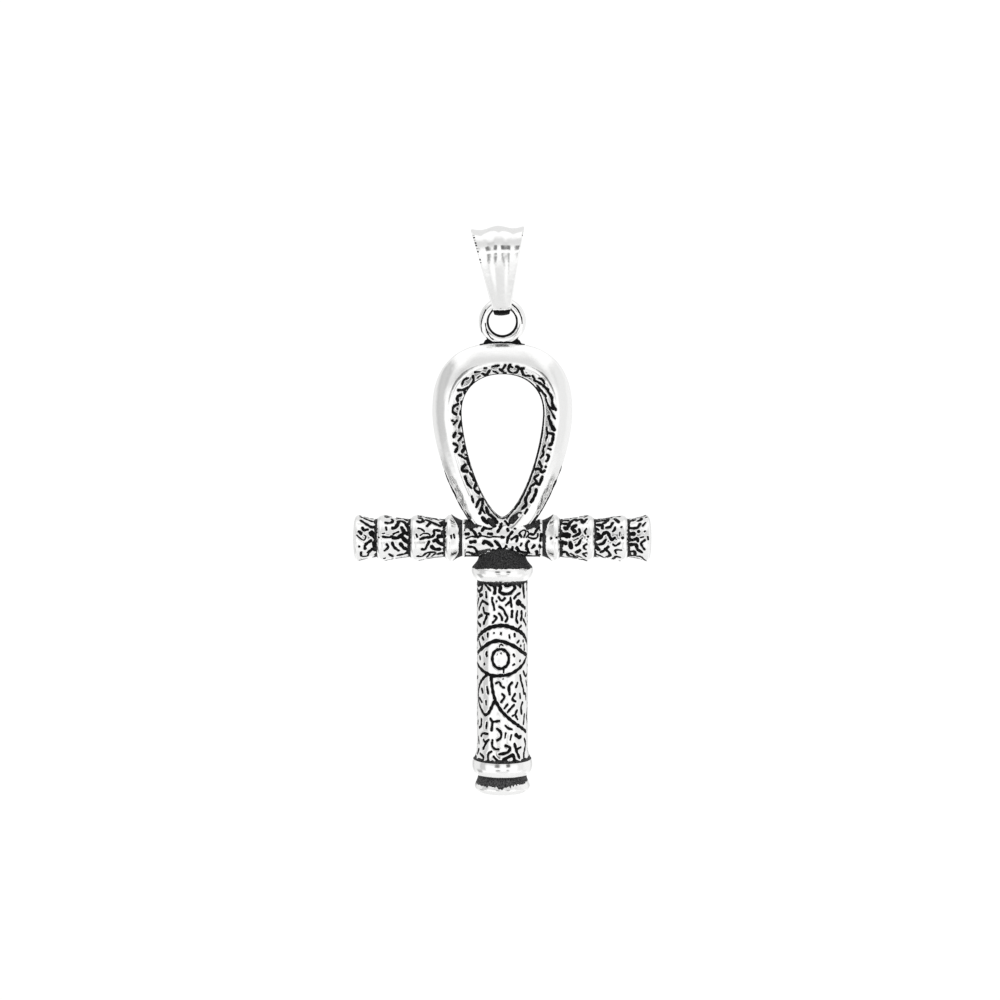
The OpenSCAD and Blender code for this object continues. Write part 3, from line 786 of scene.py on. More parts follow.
class Nodes:
    """Builds a node tree with short calls."""

    def __init__(self, tree: bpy.types.NodeTree) -> None:
        """Empties the tree and keeps it."""
        self.tree = tree
        tree.nodes.clear()

    def add(self, kind: str, **values: object) -> bpy.types.Node:
        """Adds a node, sets its properties, and sets or links its inputs.

        Args:
            kind: Blender's name of the node type.
            **values: Properties by name, and inputs by name with _ for a space; a socket is linked.

        Returns:
            The node.
        """
        node = self.tree.nodes.new(kind)
        for key, value in values.items():
            if hasattr(node, key):
                setattr(node, key, value)
                continue
            self._set(node.inputs[key.replace("_", " ")], value)
        return node

    def _set(self, socket: Socket, value: object) -> None:
        """Links a socket to another, or gives it a value.

        Args:
            socket: The input to set.
            value: A value, or the output to link.
        """
        if isinstance(value, bpy.types.NodeSocket):
            self.tree.links.new(value, socket)
        else:
            socket.default_value = value

    def math(self, operation: str, *inputs: Socket | float) -> Socket:
        """Adds a Math node.

        Args:
            operation: Blender's name of the operation.
            *inputs: Numbers or outputs to work on.

        Returns:
            The node's output.
        """
        node = self.tree.nodes.new("ShaderNodeMath")
        node.operation = operation
        for socket, value in zip(node.inputs, inputs):
            self._set(socket, value)
        return node.outputs[0]

    def blend(self, share: Socket, first: Socket | float, second: Socket | float) -> Socket:
        """Goes from the first number to the second as share goes from 0 to 1.

        Args:
            share: Share of the second.
            first: The first number or output.
            second: The second number or output.

        Returns:
            The blended number.
        """
        node = self.add("ShaderNodeMix", data_type="FLOAT")
        for place, value in ((0, share), (2, first), (3, second)):
            self._set(node.inputs[place], value)
        return node.outputs[0]

    def ramp(self, value: Socket, low: float, high: float, first: float = 0.0, last: float = 1.0) -> Socket:
        """Smooth change from first to last as value goes from low to high.

        Args:
            value: The output to read.
            low: Where the change starts.
            high: Where it ends.
            first: The result up to low.
            last: The result from high on.

        Returns:
            The changed value.
        """
        node = self.tree.nodes.new("ShaderNodeMapRange")
        node.interpolation_type = "SMOOTHSTEP"
        self.tree.links.new(value, node.inputs["Value"])
        for key, number in (("From Min", low), ("From Max", high), ("To Min", first), ("To Max", last)):
            node.inputs[key].default_value = number
        return node.outputs["Result"]

    def noise(self, scale: float, detail: float = 2.0, rough: float = 0.5) -> Socket:
        """Noise in the object's own millimetres.

        Args:
            scale: Waves in a millimetre.
            detail: Finer layers.
            rough: Strength of the finer layers.

        Returns:
            The noise, about 0 to 1.
        """
        coordinates = self.add("ShaderNodeTexCoord")
        node = self.add("ShaderNodeTexNoise", Vector=coordinates.outputs["Object"], Scale=scale / MM, Detail=detail)
        node.inputs["Roughness"].default_value = rough
        return node.outputs[0]


@dataclass(frozen=True)
class Finish:
    """Bright polished steel that turns black where a skin's ink is below 0."""

    name: str
    colour: Place = (0.94, 0.94, 0.935)
    roughness: float = 0.12
    wave: float = 0.035
    waves: float = 0.6
    grain: float = 0.0025
    black: Place = (0.003, 0.003, 0.0033)
    dull: Place = (0.14, 0.14, 0.142)

    def build(self) -> bpy.types.Material:
        """Makes the material, or returns the one made before.

        Returns:
            The material.
        """
        made = bpy.data.materials.get(self.name)
        if made:
            return made
        made = bpy.data.materials.new(self.name)
        made.use_nodes = True
        nodes = Nodes(made.node_tree)
        links = made.node_tree.links
        ink = nodes.add("ShaderNodeAttribute", attribute_name="ink").outputs["Fac"]
        broad = nodes.add("ShaderNodeAttribute", attribute_name="broad").outputs["Fac"]
        ragged = nodes.math("MULTIPLY_ADD", nodes.noise(7, 2, 0.6), 0.07, nodes.math("ADD", ink, -0.037))
        wide = nodes.math("MULTIPLY_ADD", nodes.noise(4.5, 5, 0.75), 0.2, nodes.math("ADD", ink, -0.1))
        mask = nodes.ramp(nodes.blend(broad, ragged, wide), -0.02, 0.014, 1.0, 0.0)

        wave = nodes.add("ShaderNodeBump", Strength=1.0, Distance=self.wave * MM, Height=nodes.noise(self.waves, 2))
        fine = nodes.add(
            "ShaderNodeBump", Strength=0.5, Distance=self.grain * MM, Height=nodes.noise(7, 3), Normal=wave.outputs[0]
        )
        dulled = nodes.ramp(nodes.noise(2.2, 4, 0.6), 0.3, 0.75, self.roughness * 0.75, self.roughness * 1.5)
        steel = nodes.add(
            "ShaderNodeBsdfPrincipled",
            Base_Color=(*self.colour, 1.0),
            Metallic=1.0,
            Roughness=dulled,
            Normal=fine.outputs[0],
        )
        speck = nodes.ramp(nodes.noise(9, 4, 0.7), 0.38, 0.7)
        depth = nodes.add("ShaderNodeMix", data_type="RGBA")
        links.new(nodes.math("MULTIPLY", broad, speck), depth.inputs[0])
        depth.inputs[6].default_value = (*self.black, 1.0)
        depth.inputs[7].default_value = (*self.dull, 1.0)
        pitted = nodes.add("ShaderNodeBump", Strength=0.8, Distance=0.05 * MM, Height=nodes.noise(13, 4, 0.7))
        # black for the marks and the patina, and for the painted shade under the bail's lower arc and inside the eyelet
        # ring
        oxide_and_shade = nodes.add(
            "ShaderNodeBsdfPrincipled",
            Base_Color=depth.outputs[2],
            Roughness=0.5,
            Specular_IOR_Level=0.08,
            Normal=pitted.outputs[0],
        )
        both = nodes.add("ShaderNodeMixShader", Fac=mask)
        links.new(steel.outputs[0], both.inputs[1])
        links.new(oxide_and_shade.outputs[0], both.inputs[2])
        out = nodes.add("ShaderNodeOutputMaterial")
        links.new(both.outputs[0], out.inputs["Surface"])
        return made


CAST = Finish("cast_finish")
SHEET = Finish("sheet_finish", roughness=0.1, wave=0.022, waves=0.9)


def dress(piece: bpy.types.Object, finish: Finish, body: Body, slot: Slot, node: str) -> None:
    """Gives a piece its finish and body, hides the CAD node that it stands for, and reports it.

    Args:
        piece: The piece to dress.
        finish: Its finish.
        body: The CAD body that it rides on.
        slot: Not used.
        node: The CAD node that it stands for.
    """
    piece.data.materials.append(finish.build())
    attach(piece, body.value)
    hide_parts(node)
    LOG.info("%s: %d faces", piece.name, len(piece.data.polygons))


def dress_cast(name: str, skin: Skin, caps: tuple[bool, bool] = (False, False)) -> None:
    """Makes one piece of the ankh from its skin and dresses it."""
    dress(put_skin(name, skin, LINK.ankh_origin, caps), CAST, Body.ANKH, Slot.ANKH, "ankh")


# The link between the two bodies


@dataclass(frozen=True)
class Link:
    """Sizes that the bail and the ankh share, with the CAD source's values."""

    bail_h: float = 9.3
    bail_top_w: float = 5.5
    bail_low_w: float = 1.64
    sheet: float = 0.38
    fold_r: float = 2.55
    low_r: float = 1.25
    lean: float = 3.0
    gap: float = 0.13
    eyelet_r: float = 2.45
    wire_r: float = 0.52
    sink: float = 0.2
    loop_mid_z: float = 13.1
    loop_rise: float = 7.35

    @property
    def link_drop(self) -> float:
        """Distance from the chain's seat to the middle of the strip's lower arc."""
        return self.bail_h - self.sheet - self.low_r

    @property
    def loop_top(self) -> float:
        """Top of the loop in the ankh's frame."""
        return self.loop_mid_z + self.loop_rise

    @property
    def eyelet_z(self) -> float:
        """Middle of the eyelet in the ankh's frame."""
        return self.loop_top + self.eyelet_r - self.sink

    @property
    def ankh_origin(self) -> Place:
        """Middle of the crossbar in the row frame.

        Returns:
            The place, in millimetres.
        """
        hole = self.eyelet_r - 2 * self.wire_r
        chord = math.sqrt((hole - self.gap) ** 2 - (self.bail_low_w / 2) ** 2)
        drop = self.link_drop + self.low_r - self.sheet + chord
        lean = math.radians(self.lean)
        return drop * math.sin(lean), 0.0, -drop * math.cos(lean) - self.eyelet_z


LINK = Link()


# Pieces


@dataclass
class Bail:
    """Tapered strip of sheet, folded over into a loop, with two flutes that fade downwards."""

    link: Link = LINK
    flute: float = 0.3
    crown: float = 0.12
    flute_place: float = 0.6
    flute_power: float = 1.5
    edge_round: float = 0.1
    across: int = 56
    fold_steps: int = 90
    run_steps: int = 50
    low_steps: int = 40
    # height of the painted shade on the underside of the lower arc
    painted_shade_rise: float = 0.6
    left_dots: Point = (-3.4, -0.35)
    right_dots: Point = (-0.95, -0.3)
    belly: float = 0.5
    bellies: tuple[Place, ...] = ((-0.25, 0.24, 0.8), (0.3, 0.16, 0.45))

    def _stations(self) -> list[Point]:
        """The path round the strip as (outward turn in degrees, share of the way down).

        Returns:
            The stations, in order.
        """
        k = self.link
        taper = math.degrees(math.asin((k.fold_r - k.low_r) / (k.link_drop + k.sheet - k.fold_r)))
        turn = 90 + taper
        fold, run, low = self.fold_steps, self.run_steps, self.low_steps
        path = [(mix(-turn, turn, i / fold), 0.0) for i in range(fold + 1)]
        path += [(turn, i / run) for i in range(1, run)]
        path += [(mix(turn, 360 - turn, i / low), 1.0) for i in range(low + 1)]
        path += [(-turn, 1 - i / run) for i in range(1, run)]
        return path

    def _share(self, z: float) -> float:
        """Share of the height above the lower end."""
        k = self.link
        return min(1.0, max(0.0, (z + k.bail_h - k.sheet) / k.bail_h))

    def _section(self, turn: float, down: float) -> list[list[float]]:
        """Closed section of the strip at one station: its outer face, then its inner face.

        Args:
            turn: Outward turn of the station in degrees.
            down: Its share of the way down.

        Returns:
            The section's points.
        """
        k = self.link
        a = math.radians(turn)
        middle = mix(k.sheet - k.fold_r, -k.link_drop, down)
        radius = mix(k.fold_r, k.low_r, down)
        share = self._share(middle + radius * math.cos(a))
        half = mix(k.bail_low_w, k.bail_top_w, share) / 2
        fade = self.flute * share**self.flute_power
        rounding = min(self.edge_round / half, 0.4)
        sag = self.belly * down * (1 - down) ** 3

        def point(t: float, depth: float, side: int) -> list[float]:
            """Point of the strip at t across it, from one face.

            Args:
                t: Place across, -1 to 1.
                depth: Depth below the outer face.
                side: 1 for the outer face, -1 for the inner.

            Returns:
                The point, in millimetres.
            """
            flute = fade * math.sin(math.pi / 2 * abs(t) / self.flute_place) ** 2
            lip = max(0.0, (abs(t) - 1 + rounding) / rounding)
            inset = self.edge_round * (1 - math.sqrt(max(0.0, 1 - lip * lip)))
            outer = self.crown * t * t if side > 0 else 0.0
            full = 0.35 + sum(high * math.exp(-(((t - at) / wide) ** 2)) for at, wide, high in self.bellies)
            r = radius + sag * full - (depth + flute + outer + side * inset)
            return [t * half, r * math.sin(a), middle + r * math.cos(a)]

        span = [math.sin(math.pi / 2 * (-1 + 2 * i / self.across)) for i in range(self.across + 1)]
        return [point(t, 0.0, 1) for t in span] + [point(t, k.sheet, -1) for t in reversed(span)]

    def _blacken(self, skin: Skin) -> None:
        """Blackens the underside of the lower arc as painted shade, and dots along the two front edges.

        Args:
            skin: The upright strip.
        """
        points = skin.points
        height = points[:, :, 2]
        column = np.arange(points.shape[1])[None, :] * np.ones_like(height)
        run = np.arange(points.shape[0])[:, None] * np.ones_like(height)
        low = -self.link.bail_h + self.link.sheet
        uneven = ripple(points[:, :, 0], 6.0, 71, waves=8)
        # painted shade: the outer face of the lower arc, where it passes through the eyelet, is blackened
        under = height - (low + self.painted_shade_rise + 0.04 * uneven)
        skin.blacken(np.where(column <= self.across, under, 1.0), broad=0.0)
        dots = 0.02 + 0.1 * np.sin(run * 1.9) + 0.05 * np.sin(run * 0.77)
        edges = ((self.left_dots, column < 8), (self.right_dots, np.abs(column - self.across) < 5))
        for (bottom, top), edge in edges:
            dotted = (points[:, :, 1] < 0) & (height > bottom) & (height < top) & edge
            skin.blacken(np.where(dotted, dots, 1.0), broad=0.0)

    def build(self) -> None:
        """Builds the strip upright, leans it and dresses it."""
        points = np.array([self._section(turn, down) for turn, down in self._stations()])
        upright = Skin(points)
        self._blacken(upright)
        lean = math.radians(self.link.lean)
        turned = points.copy()
        turned[:, :, 0] = points[:, :, 0] * math.cos(lean) - points[:, :, 2] * math.sin(lean)
        turned[:, :, 2] = points[:, :, 0] * math.sin(lean) + points[:, :, 2] * math.cos(lean)
        skin = Skin(turned, closed_rows=True)
        skin.ink = upright.ink
        dress(put_skin("bail_strip", skin, (0, 0, 0)), SHEET, Body.BAIL, Slot.BAIL, "bail")


@dataclass
class Eyelet:
    """Wire ring on top of the loop, with its solder."""

    link: Link = LINK
    ring_steps: int = 240
    wire_steps: int = 56
    solder_steps: int = 13
    solder_y: float = 0.36
    solder: tuple[Point, ...] = ((2.4, -0.45), (2.3, -0.16), (1.98, 0.0), (1.76, 0.32), (1.2, 0.5), (0.0, 0.3))
    hollows: tuple[Stroke, ...] = (
        (0.07, ((-1.72, 1.22), (-2.05, 0.5), (-2.2, -0.4), (-2.12, -1.15))),
        (0.07, ((-1.76, -0.2), (-1.62, -0.95), (-1.25, -1.62), (-0.95, -1.85))),
        (0.075, ((1.05, 1.75), (1.6, 1.2), (1.98, 0.4), (2.06, -0.2))),
        (0.03, ((1.62, -0.6), (1.5, -1.2), (1.1, -1.7))),
    )

    def _on_ring(self, x: float, z: float, side: int) -> Place:
        """Surface point of the ring at a place seen from the front.

        Args:
            x: Place to the right of the middle.
            z: Place above the middle.
            side: -1 in front, 1 behind.

        Returns:
            The point, in millimetres.
        """
        k = self.link
        off = math.hypot(x, z) - (k.eyelet_r - k.wire_r)
        return x, side * math.sqrt(max(0.0, k.wire_r**2 - off * off)), z + k.eyelet_z

    def build(self) -> None:
        """Builds the ring and the solder and dresses them."""
        k = self.link
        middle = k.eyelet_r - k.wire_r
        turn = np.linspace(0, 2 * math.pi, self.ring_steps, endpoint=False)[:, None]
        face = np.linspace(0, 2 * math.pi, self.wire_steps, endpoint=False)[None, :]
        radius = middle + k.wire_r * np.cos(face)
        points = np.stack(
            [radius * np.sin(turn), 0 * turn + k.wire_r * np.sin(face), k.eyelet_z + radius * np.cos(turn)], 2
        )
        skin = Skin(points, closed_rows=True)
        uneven = ripple(turn * middle, 2 * math.pi * middle, 11)
        # painted reflection: the inner face of the ring is blackened, a little wider towards the bottom
        inner = k.wire_r * np.abs(face - math.pi)
        skin.blacken(inner - 0.44 - 0.1 * (1 - np.cos(turn)) / 2 - 0.03 * uneven, broad=0.0)
        marks = Marks(4)
        for side in (-1, 1):
            marks.draw(self.hollows, lambda a, b: self._on_ring(a, b, side))
        skin.stamp(marks)
        seat = points[:, :, 2] - (k.loop_top + 0.2 - 0.05 * points[:, :, 0] ** 2) + 0.05 * uneven
        skin.blacken(seat, broad=0.0)
        dress_cast("eyelet_ring", skin)

        right = catmull(self.solder, 8)
        outline = right + [(-x, z) for x, z in right[-2::-1]]
        rows = []
        for share in np.linspace(-1, 1, self.solder_steps):
            y = self.solder_y * math.sin(share * math.pi / 2)
            sink = 0.14 * (1 - math.cos(share * math.pi / 2)) ** 1.2
            rows.append([[x * (1 - 0.06 * sink), y, k.loop_top + z - sink] for x, z in outline])
        saddle = Skin(np.array(rows), closed_columns=False)
        saddle.blacken(np.full(saddle.ink.shape, -0.3), broad=0.0)
        dress_cast("eyelet_solder", saddle, (True, True))


@dataclass
class Loop:
    """Drop-shaped loop: a polished slope from its outer edge to a rounded crest, and a textured bevel inside."""

    link: Link = LINK
    outer: tuple[float, ...] = (7.3, 7.35, 2.5, 14.0, 1.6)
    crest: tuple[float, ...] = (5.55, 5.2, 2.35, 12.6, 1.55)
    inner: tuple[float, ...] = (4.33, 4.2, 2.2, 11.0, 1.57)
    crest_y: float = 1.7
    foot_y: float = 1.5
    wall_y: float = 0.72
    face: tuple[Point, ...] = (
        (0, 0), (0, 0.12), (0.03, 0.2), (0.09, 0.29), (0.2, 0.425), (0.35, 0.585), (0.55, 0.765), (0.75, 0.91),
        (0.88, 0.975), (1, 1),
    )
    low_face: tuple[float, ...] = (0, 0.3, 0.48, 0.6, 0.7, 0.78, 0.86, 0.93, 0.97, 1)
    bevel: tuple[Point, ...] = ((0, 0), (0.12, 0.03), (0.25, 0.1), (0.38, 0.22), (0.6, 0.49), (0.8, 0.75), (1, 1))
    wall_steps: int = 12
    stations: int = 620
    fine: int = 4
    blobs: tuple[tuple[float, ...], ...] = ((-1.2, 1.85, 0.6, 0.32, -45), (1.42, 2.25, 0.92, 0.42, 38))
    islands: tuple[Place, ...] = ((1.8, 2.55, 0.17),)
    seed: int = 5
    mark_gap: float = 0.44
    groove: float = 0.07

    def _outline(self, row: Sequence[float], turn: float) -> Point:
        """Point of an outline at a turn from the loop's right side.

        Args:
            row: Half width, height above and power above, height below and power below.
            turn: Turn in radians.

        Returns:
            Place to the right and height.
        """
        c, s = math.cos(turn), math.sin(turn)
        high = s > 0
        power = 2 / (row[2] if high else row[4])
        x = math.copysign(row[0] * abs(c) ** power, c)
        z = math.copysign((row[1] if high else row[3]) * abs(s) ** power, s)
        return x, self.link.loop_mid_z + z

    def _turns(self) -> np.ndarray:
        """Turns of the stations, evenly spaced along the crest.

        Returns:
            The turns in radians.
        """
        fine = np.linspace(0, 2 * math.pi, 6001)
        line = np.array([self._outline(self.crest, t) for t in fine])
        run = np.r_[0, np.cumsum(np.linalg.norm(np.diff(line, axis=0), axis=1))]
        at = np.linspace(0, run[-1], self.stations, endpoint=False) + 0.03
        return np.interp(at, run, fine)

    def _section(self, turn: float) -> list[list[float]]:
        """Section at a station: outer edge, front slope, bevel and wall, then the same behind.

        Args:
            turn: Turn in radians.

        Returns:
            The section's points.
        """
        outer, crest, inner = (self._outline(row, turn) for row in (self.outer, self.crest, self.inner))
        top = mix(self.foot_y, self.crest_y, min(1.0, max(0.0, crest[1] / self.link.loop_mid_z)))
        front = [(outer[0], 0.0, outer[1])]
        flat = min(1.0, max(0.0, (5.6 - crest[1]) / 3.4))
        flat *= flat * (3 - 2 * flat)
        face = [(w, mix(y, low, flat)) for (w, y), low in zip(self.face, self.low_face)]
        for w, y in catmull(face, self.fine)[1:]:
            front.append((mix(outer[0], crest[0], w), -top * y, mix(outer[1], crest[1], w)))
        for w, y in catmull(self.bevel, self.fine)[1:]:
            front.append((mix(crest[0], inner[0], w), -mix(top, self.wall_y, y), mix(crest[1], inner[1], w)))
        for i in range(1, self.wall_steps + 1):
            front.append((inner[0], -self.wall_y * (1 - i / self.wall_steps), inner[1]))
        return [list(p) for p in front + [(x, -y, z) for x, y, z in front[-2:0:-1]]]

    def build(self) -> None:
        """Builds the loop with its marks and dresses it."""
        k = self.link
        points = np.array([self._section(t) for t in self._turns()])
        skin = Skin(points, closed_rows=True)
        ridge = self.fine * (len(self.face) - 1)
        edge = ridge + self.fine * (len(self.bevel) - 1)
        first = ridge + self.fine * 2.4
        total = skin.columns
        marks = Marks(self.seed, 0.12, 0.16)
        x, z = points[:, :, 0], points[:, :, 2]
        front = [(r, c) for r in range(skin.rows) for c in range(ridge, int(edge) + 1)]
        tree = KDTree(len(front))
        for number, (r, c) in enumerate(front):
            tree.insert((x[r, c], 0.0, z[r, c]), number)
        tree.balance()

        def place(at: float, height: float) -> Place:
            """Surface point of the front bevel nearest to a place seen from the front."""
            return tuple(points[front[tree.find((at, 0.0, height))[1]]].tolist())

        marks.draw(LOOP_STROKES, place, wide=(1.25, 0.0))

        def room(i: float, j: float) -> float:
            """Distance between marks on the hidden bevel and the wall, 0 off them."""
            return self.mark_gap if edge + 2.5 < j < total - first else 0.0

        rows = (0, skin.rows)
        marks.scatter(skin, rows, (total - edge, total - first), 1700, room, (ALONG, 1.1), (0.3, 1.5), 0.2, 0.3)
        marks.scatter(skin, rows, (edge + 3, total - edge - 2), 500, room, (ALONG, 1.2), (0.3, 1.4), 0.25)
        skin.stamp(marks)
        depth = np.abs(points[:, :, 1])
        column = np.minimum(np.arange(total), total - np.arange(total))[None, :] + 0 * x
        run = np.arange(skin.rows)[:, None] / skin.rows * 40 + 0 * x
        uneven = ripple(run, 40, 21, waves=14)
        coarse = ripple(run, 40, 22, waves=20, low=9)
        bend = np.abs(depth - self.wall_y)
        # black band along the crease between the bevel and the inner wall; its extra width on the right side is painted
        # shade
        right = smooth((x - 0.8) / 1.5)
        skin.blacken(np.where(column > first, bend - 0.06 - 0.03 * uneven - 0.07 * right, 1.0), broad=0.0)
        for bx, bz, long, short, tilt in self.blobs:
            a = math.radians(tilt)
            along = (x - bx) * math.cos(a) + (z - bz) * math.sin(a)
            side = (z - bz) * math.cos(a) - (x - bx) * math.sin(a)
            blob = (np.hypot(along / long, side / short) - 1) * short
            skin.blacken(np.where(column > first - 3, blob + 0.05 * coarse, 1.0))
        other = ripple(run, 40, 23, waves=30, low=26)
        scratch = 0.03 * np.abs(column - 9 - 2 * coarse) - 0.1 + 0.07 * other + 0.05 * np.maximum(0, z - 6)
        streak = np.where((column < 16) & (z < 9), scratch, 1.0)
        skin.blacken(streak, broad=0.0)
        side = np.where(column < ridge * 0.45, z - (2.15 + 0.35 * smooth(x) + 0.1 * uneven), 1.0)
        skin.blacken(side)
        seam = np.hypot(np.maximum(np.abs(x) - 2.3, 0), np.maximum(depth - 0.28, 0)) - 0.06
        skin.blacken(np.where(z > k.loop_top - 0.8, seam - 0.04 * uneven, 1.0), broad=0.0)
        skin.bare(self.islands)
        skin.carve(self.groove)
        dress_cast("loop", skin)


@dataclass
class Crossbar:
    """Middle of the crossbar and its two ringed arms."""

    half: float = 15.6
    bar_r: float = 1.9
    rim_r: float = 2.38
    segments: tuple[Point, ...] = ((0.383, 0.615), (0.615, 0.839), (0.839, 1.0))
    collar_in: float = 0.269
    lip_w: float = 0.25
    lip_h: float = 0.06
    rim_l: float = 0.6
    collar_rim_l: float = 0.58
    collar_rim_r: float = 2.45
    dome: float = 0.42
    flare_power: float = 1.7
    cove_power: float = 1.4
    drawn_turn: float = 74.0
    middle_turn: float = 70.0
    mean_r: float = 2.2
    groove: float = 0.09
    columns: int = 216
    middle_columns: int = 196
    islands: tuple[Place, ...] = ((3.6, 1.8, 0.14), (-1.35, -1.62, 0.12), (1.5, -1.4, 0.14))
    grid: float = 0.066

    def _flare(self, x0: float, r0: float, x1: float, r1: float, power: float) -> list[Point]:
        """Flare from a narrow place out to a wide one."""
        return [(mix(x0, x1, i / 24), mix(r0, r1, (i / 24) ** power)) for i in range(24)]

    def _rim(self, x: float, length: float, r: float) -> list[Point]:
        """Rounded rim from its widest place out to the next neck."""
        turns = [math.pi / 2 * i / 12 for i in range(13)]
        return [(x - length * (1 - math.sin(a)), mix(self.bar_r + 0.02, r, math.cos(a))) for a in turns]

    def _arm_profile(self) -> tuple[list[Point], float]:
        """Arm's outline from the middle's lip to the end, and the place of the collar's rim.

        Returns:
            The outline as (place along, radius), and the rim's place along.
        """
        neck, inner = self.bar_r + 0.02, self.collar_in * self.half
        collar = self.segments[0][0] * self.half
        tip = collar - self.collar_rim_l
        line = self._flare(inner, self.bar_r - self.lip_h, tip, self.collar_rim_r, self.cove_power)
        line += self._rim(collar, self.collar_rim_l, self.collar_rim_r)
        for a, b in self.segments[:2]:
            line += self._flare(a * self.half, neck, b * self.half - self.rim_l, self.rim_r, self.flare_power)
            line += self._rim(b * self.half, self.rim_l, self.rim_r)
        line += self._flare(self.segments[2][0] * self.half, neck, self.half - self.dome, self.rim_r, self.flare_power)
        for i in range(15):
            a = math.pi / 2 * i / 14
            r = self.rim_r * math.sqrt(max(0.0, math.cos(a)))
            line.append((self.half - self.dome * (1 - math.sin(a)), max(r, 0.02)))
        return line, tip

    def _arm(self, name: str, side: int, seed: int, strokes: tuple[Stroke, ...]) -> None:
        """Builds one arm.

        Args:
            name: Name of the piece.
            side: 1 for the right arm, -1 for the left.
            seed: Chooses its grown marks.
            strokes: Its drawn marks.
        """
        line, tip = self._arm_profile()
        profile = resample(line, self.grid)
        columns = self.columns
        skin = Skin(lathe(profile, columns, "x"))
        turn = round_turns(columns)
        round_mm = np.broadcast_to(turn * self.mean_r, skin.ink.shape)
        x = np.broadcast_to(profile[:, :1], skin.ink.shape)
        period = 2 * math.pi * self.mean_r
        marks = Marks(seed)
        bounds = [(a * self.half, b * self.half) for a, b in self.segments]
        bounds[2] = (bounds[2][0], self.half - self.dome + 0.1)
        body = profile[profile[:, 0] < self.half - self.dome]

        def place(at: float, degrees: float) -> Place:
            """Surface point at a distance from the middle and a turn above the front."""
            a, r = math.radians(degrees), float(np.interp(at, body[:, 0], body[:, 1]))
            return at, -r * math.cos(a), r * math.sin(a)

        marks.draw(strokes, place, (1.0, 0.038), (1.38, 0.07))
        hidden = self.drawn_turn / 360 * columns

        def room(i: float, j: float) -> float:
            """Distance between marks along a segment, 0 on the rims, in the cove and where marks are drawn.

            Args:
                i: Row.
                j: Column.

            Returns:
                The distance, in millimetres.
            """
            if min(j, columns - j) < hidden:
                return 0.0
            at = profile[min(int(i), len(profile) - 1), 0]
            for number, (a, b) in enumerate(bounds):
                if a + 0.05 < at < b - (0.75 if number < 2 else 0.25):
                    return 0.4 + 0.1 * (at - a) / (b - a)
            return 0.0

        for a, b in bounds:
            ra, rb = (int(np.searchsorted(body[:, 0], v)) for v in (a, b))
            span = (hidden, columns - hidden)
            marks.scatter(skin, (ra + 4, ra + 8), span, 260, room, (ALONG, 0.6), (0.7, 1.9))
            marks.scatter(skin, (ra + 4, rb), span, 900, room, (ALONG, 0.9), (0.35, 1.4))
        skin.stamp(marks)
        for number, (a, b) in enumerate(bounds):
            uneven = ripple(round_mm, period, seed * 7 + number, waves=12)
            coarse = ripple(round_mm, period, seed * 7 + number + 40, waves=20, low=6)
            band = np.where(x >= a - 0.02, x - (a + 0.27 + 0.16 * uneven + 0.12 * coarse), (a - 0.02) - x)
            skin.blacken(np.where(np.abs(x - a) < 2, band, 1.0))
        inner = self.collar_in * self.half
        coarse = ripple(round_mm, period, seed * 7 + 5, waves=20, low=7)
        share = np.abs(np.sin(turn))[None, :]
        reach = 0.36 + (0.82 - 0.12 * (np.sin(turn)[None, :] < 0)) * share**5 + 0.1 * coarse * (1 - 0.7 * share)
        skin.blacken(np.where(x < tip + 0.1, x - inner - reach, 1.0))
        skin.carve(self.groove)
        if side < 0:
            skin.points[:, :, 0] *= -1
            skin.points, skin.ink, skin.broad = skin.points[:, ::-1], skin.ink[:, ::-1], skin.broad[:, ::-1]
        dress_cast(name, skin, (False, True))

    def _middle(self) -> None:
        """Builds the middle between the two arms."""
        inner = self.collar_in * self.half
        lip = inner - self.lip_w
        edge = [(inner, self.bar_r - self.lip_h), (inner, self.bar_r + self.lip_h - 0.03)]
        edge += [(inner - 0.03, self.bar_r + self.lip_h), (lip + 0.03, self.bar_r + self.lip_h)]
        edge += [(lip, self.bar_r + self.lip_h - 0.03), (lip - 0.02, self.bar_r)]
        line = [(-x, r) for x, r in edge] + [(x, r) for x, r in reversed(edge)]
        profile = resample(line, self.grid)
        columns = self.middle_columns
        skin = Skin(lathe(profile, columns, "x"))
        turn = round_turns(columns)
        x, y, z = (skin.points[:, :, k] for k in range(3))
        marks = Marks(77, 0.105, 0.15)
        rows = np.abs(profile[:, 0])

        def place(at: float, degrees: float) -> Place:
            """Surface point at a distance from the middle and a turn above the front."""
            a = math.radians(degrees)
            return at, -self.bar_r * math.cos(a), self.bar_r * math.sin(a)

        marks.draw(MIDDLE_STROKES, place, (1.0, 0.033), (1.38, 0.07))

        def room(i: float, j: float) -> float:
            """Distance between marks, 0 on the lips and where marks are drawn."""
            hidden = min(j, columns - j) < self.middle_turn / 360 * columns
            return 0.0 if hidden or rows[min(int(i), len(rows) - 1)] > lip - 0.16 else 0.42

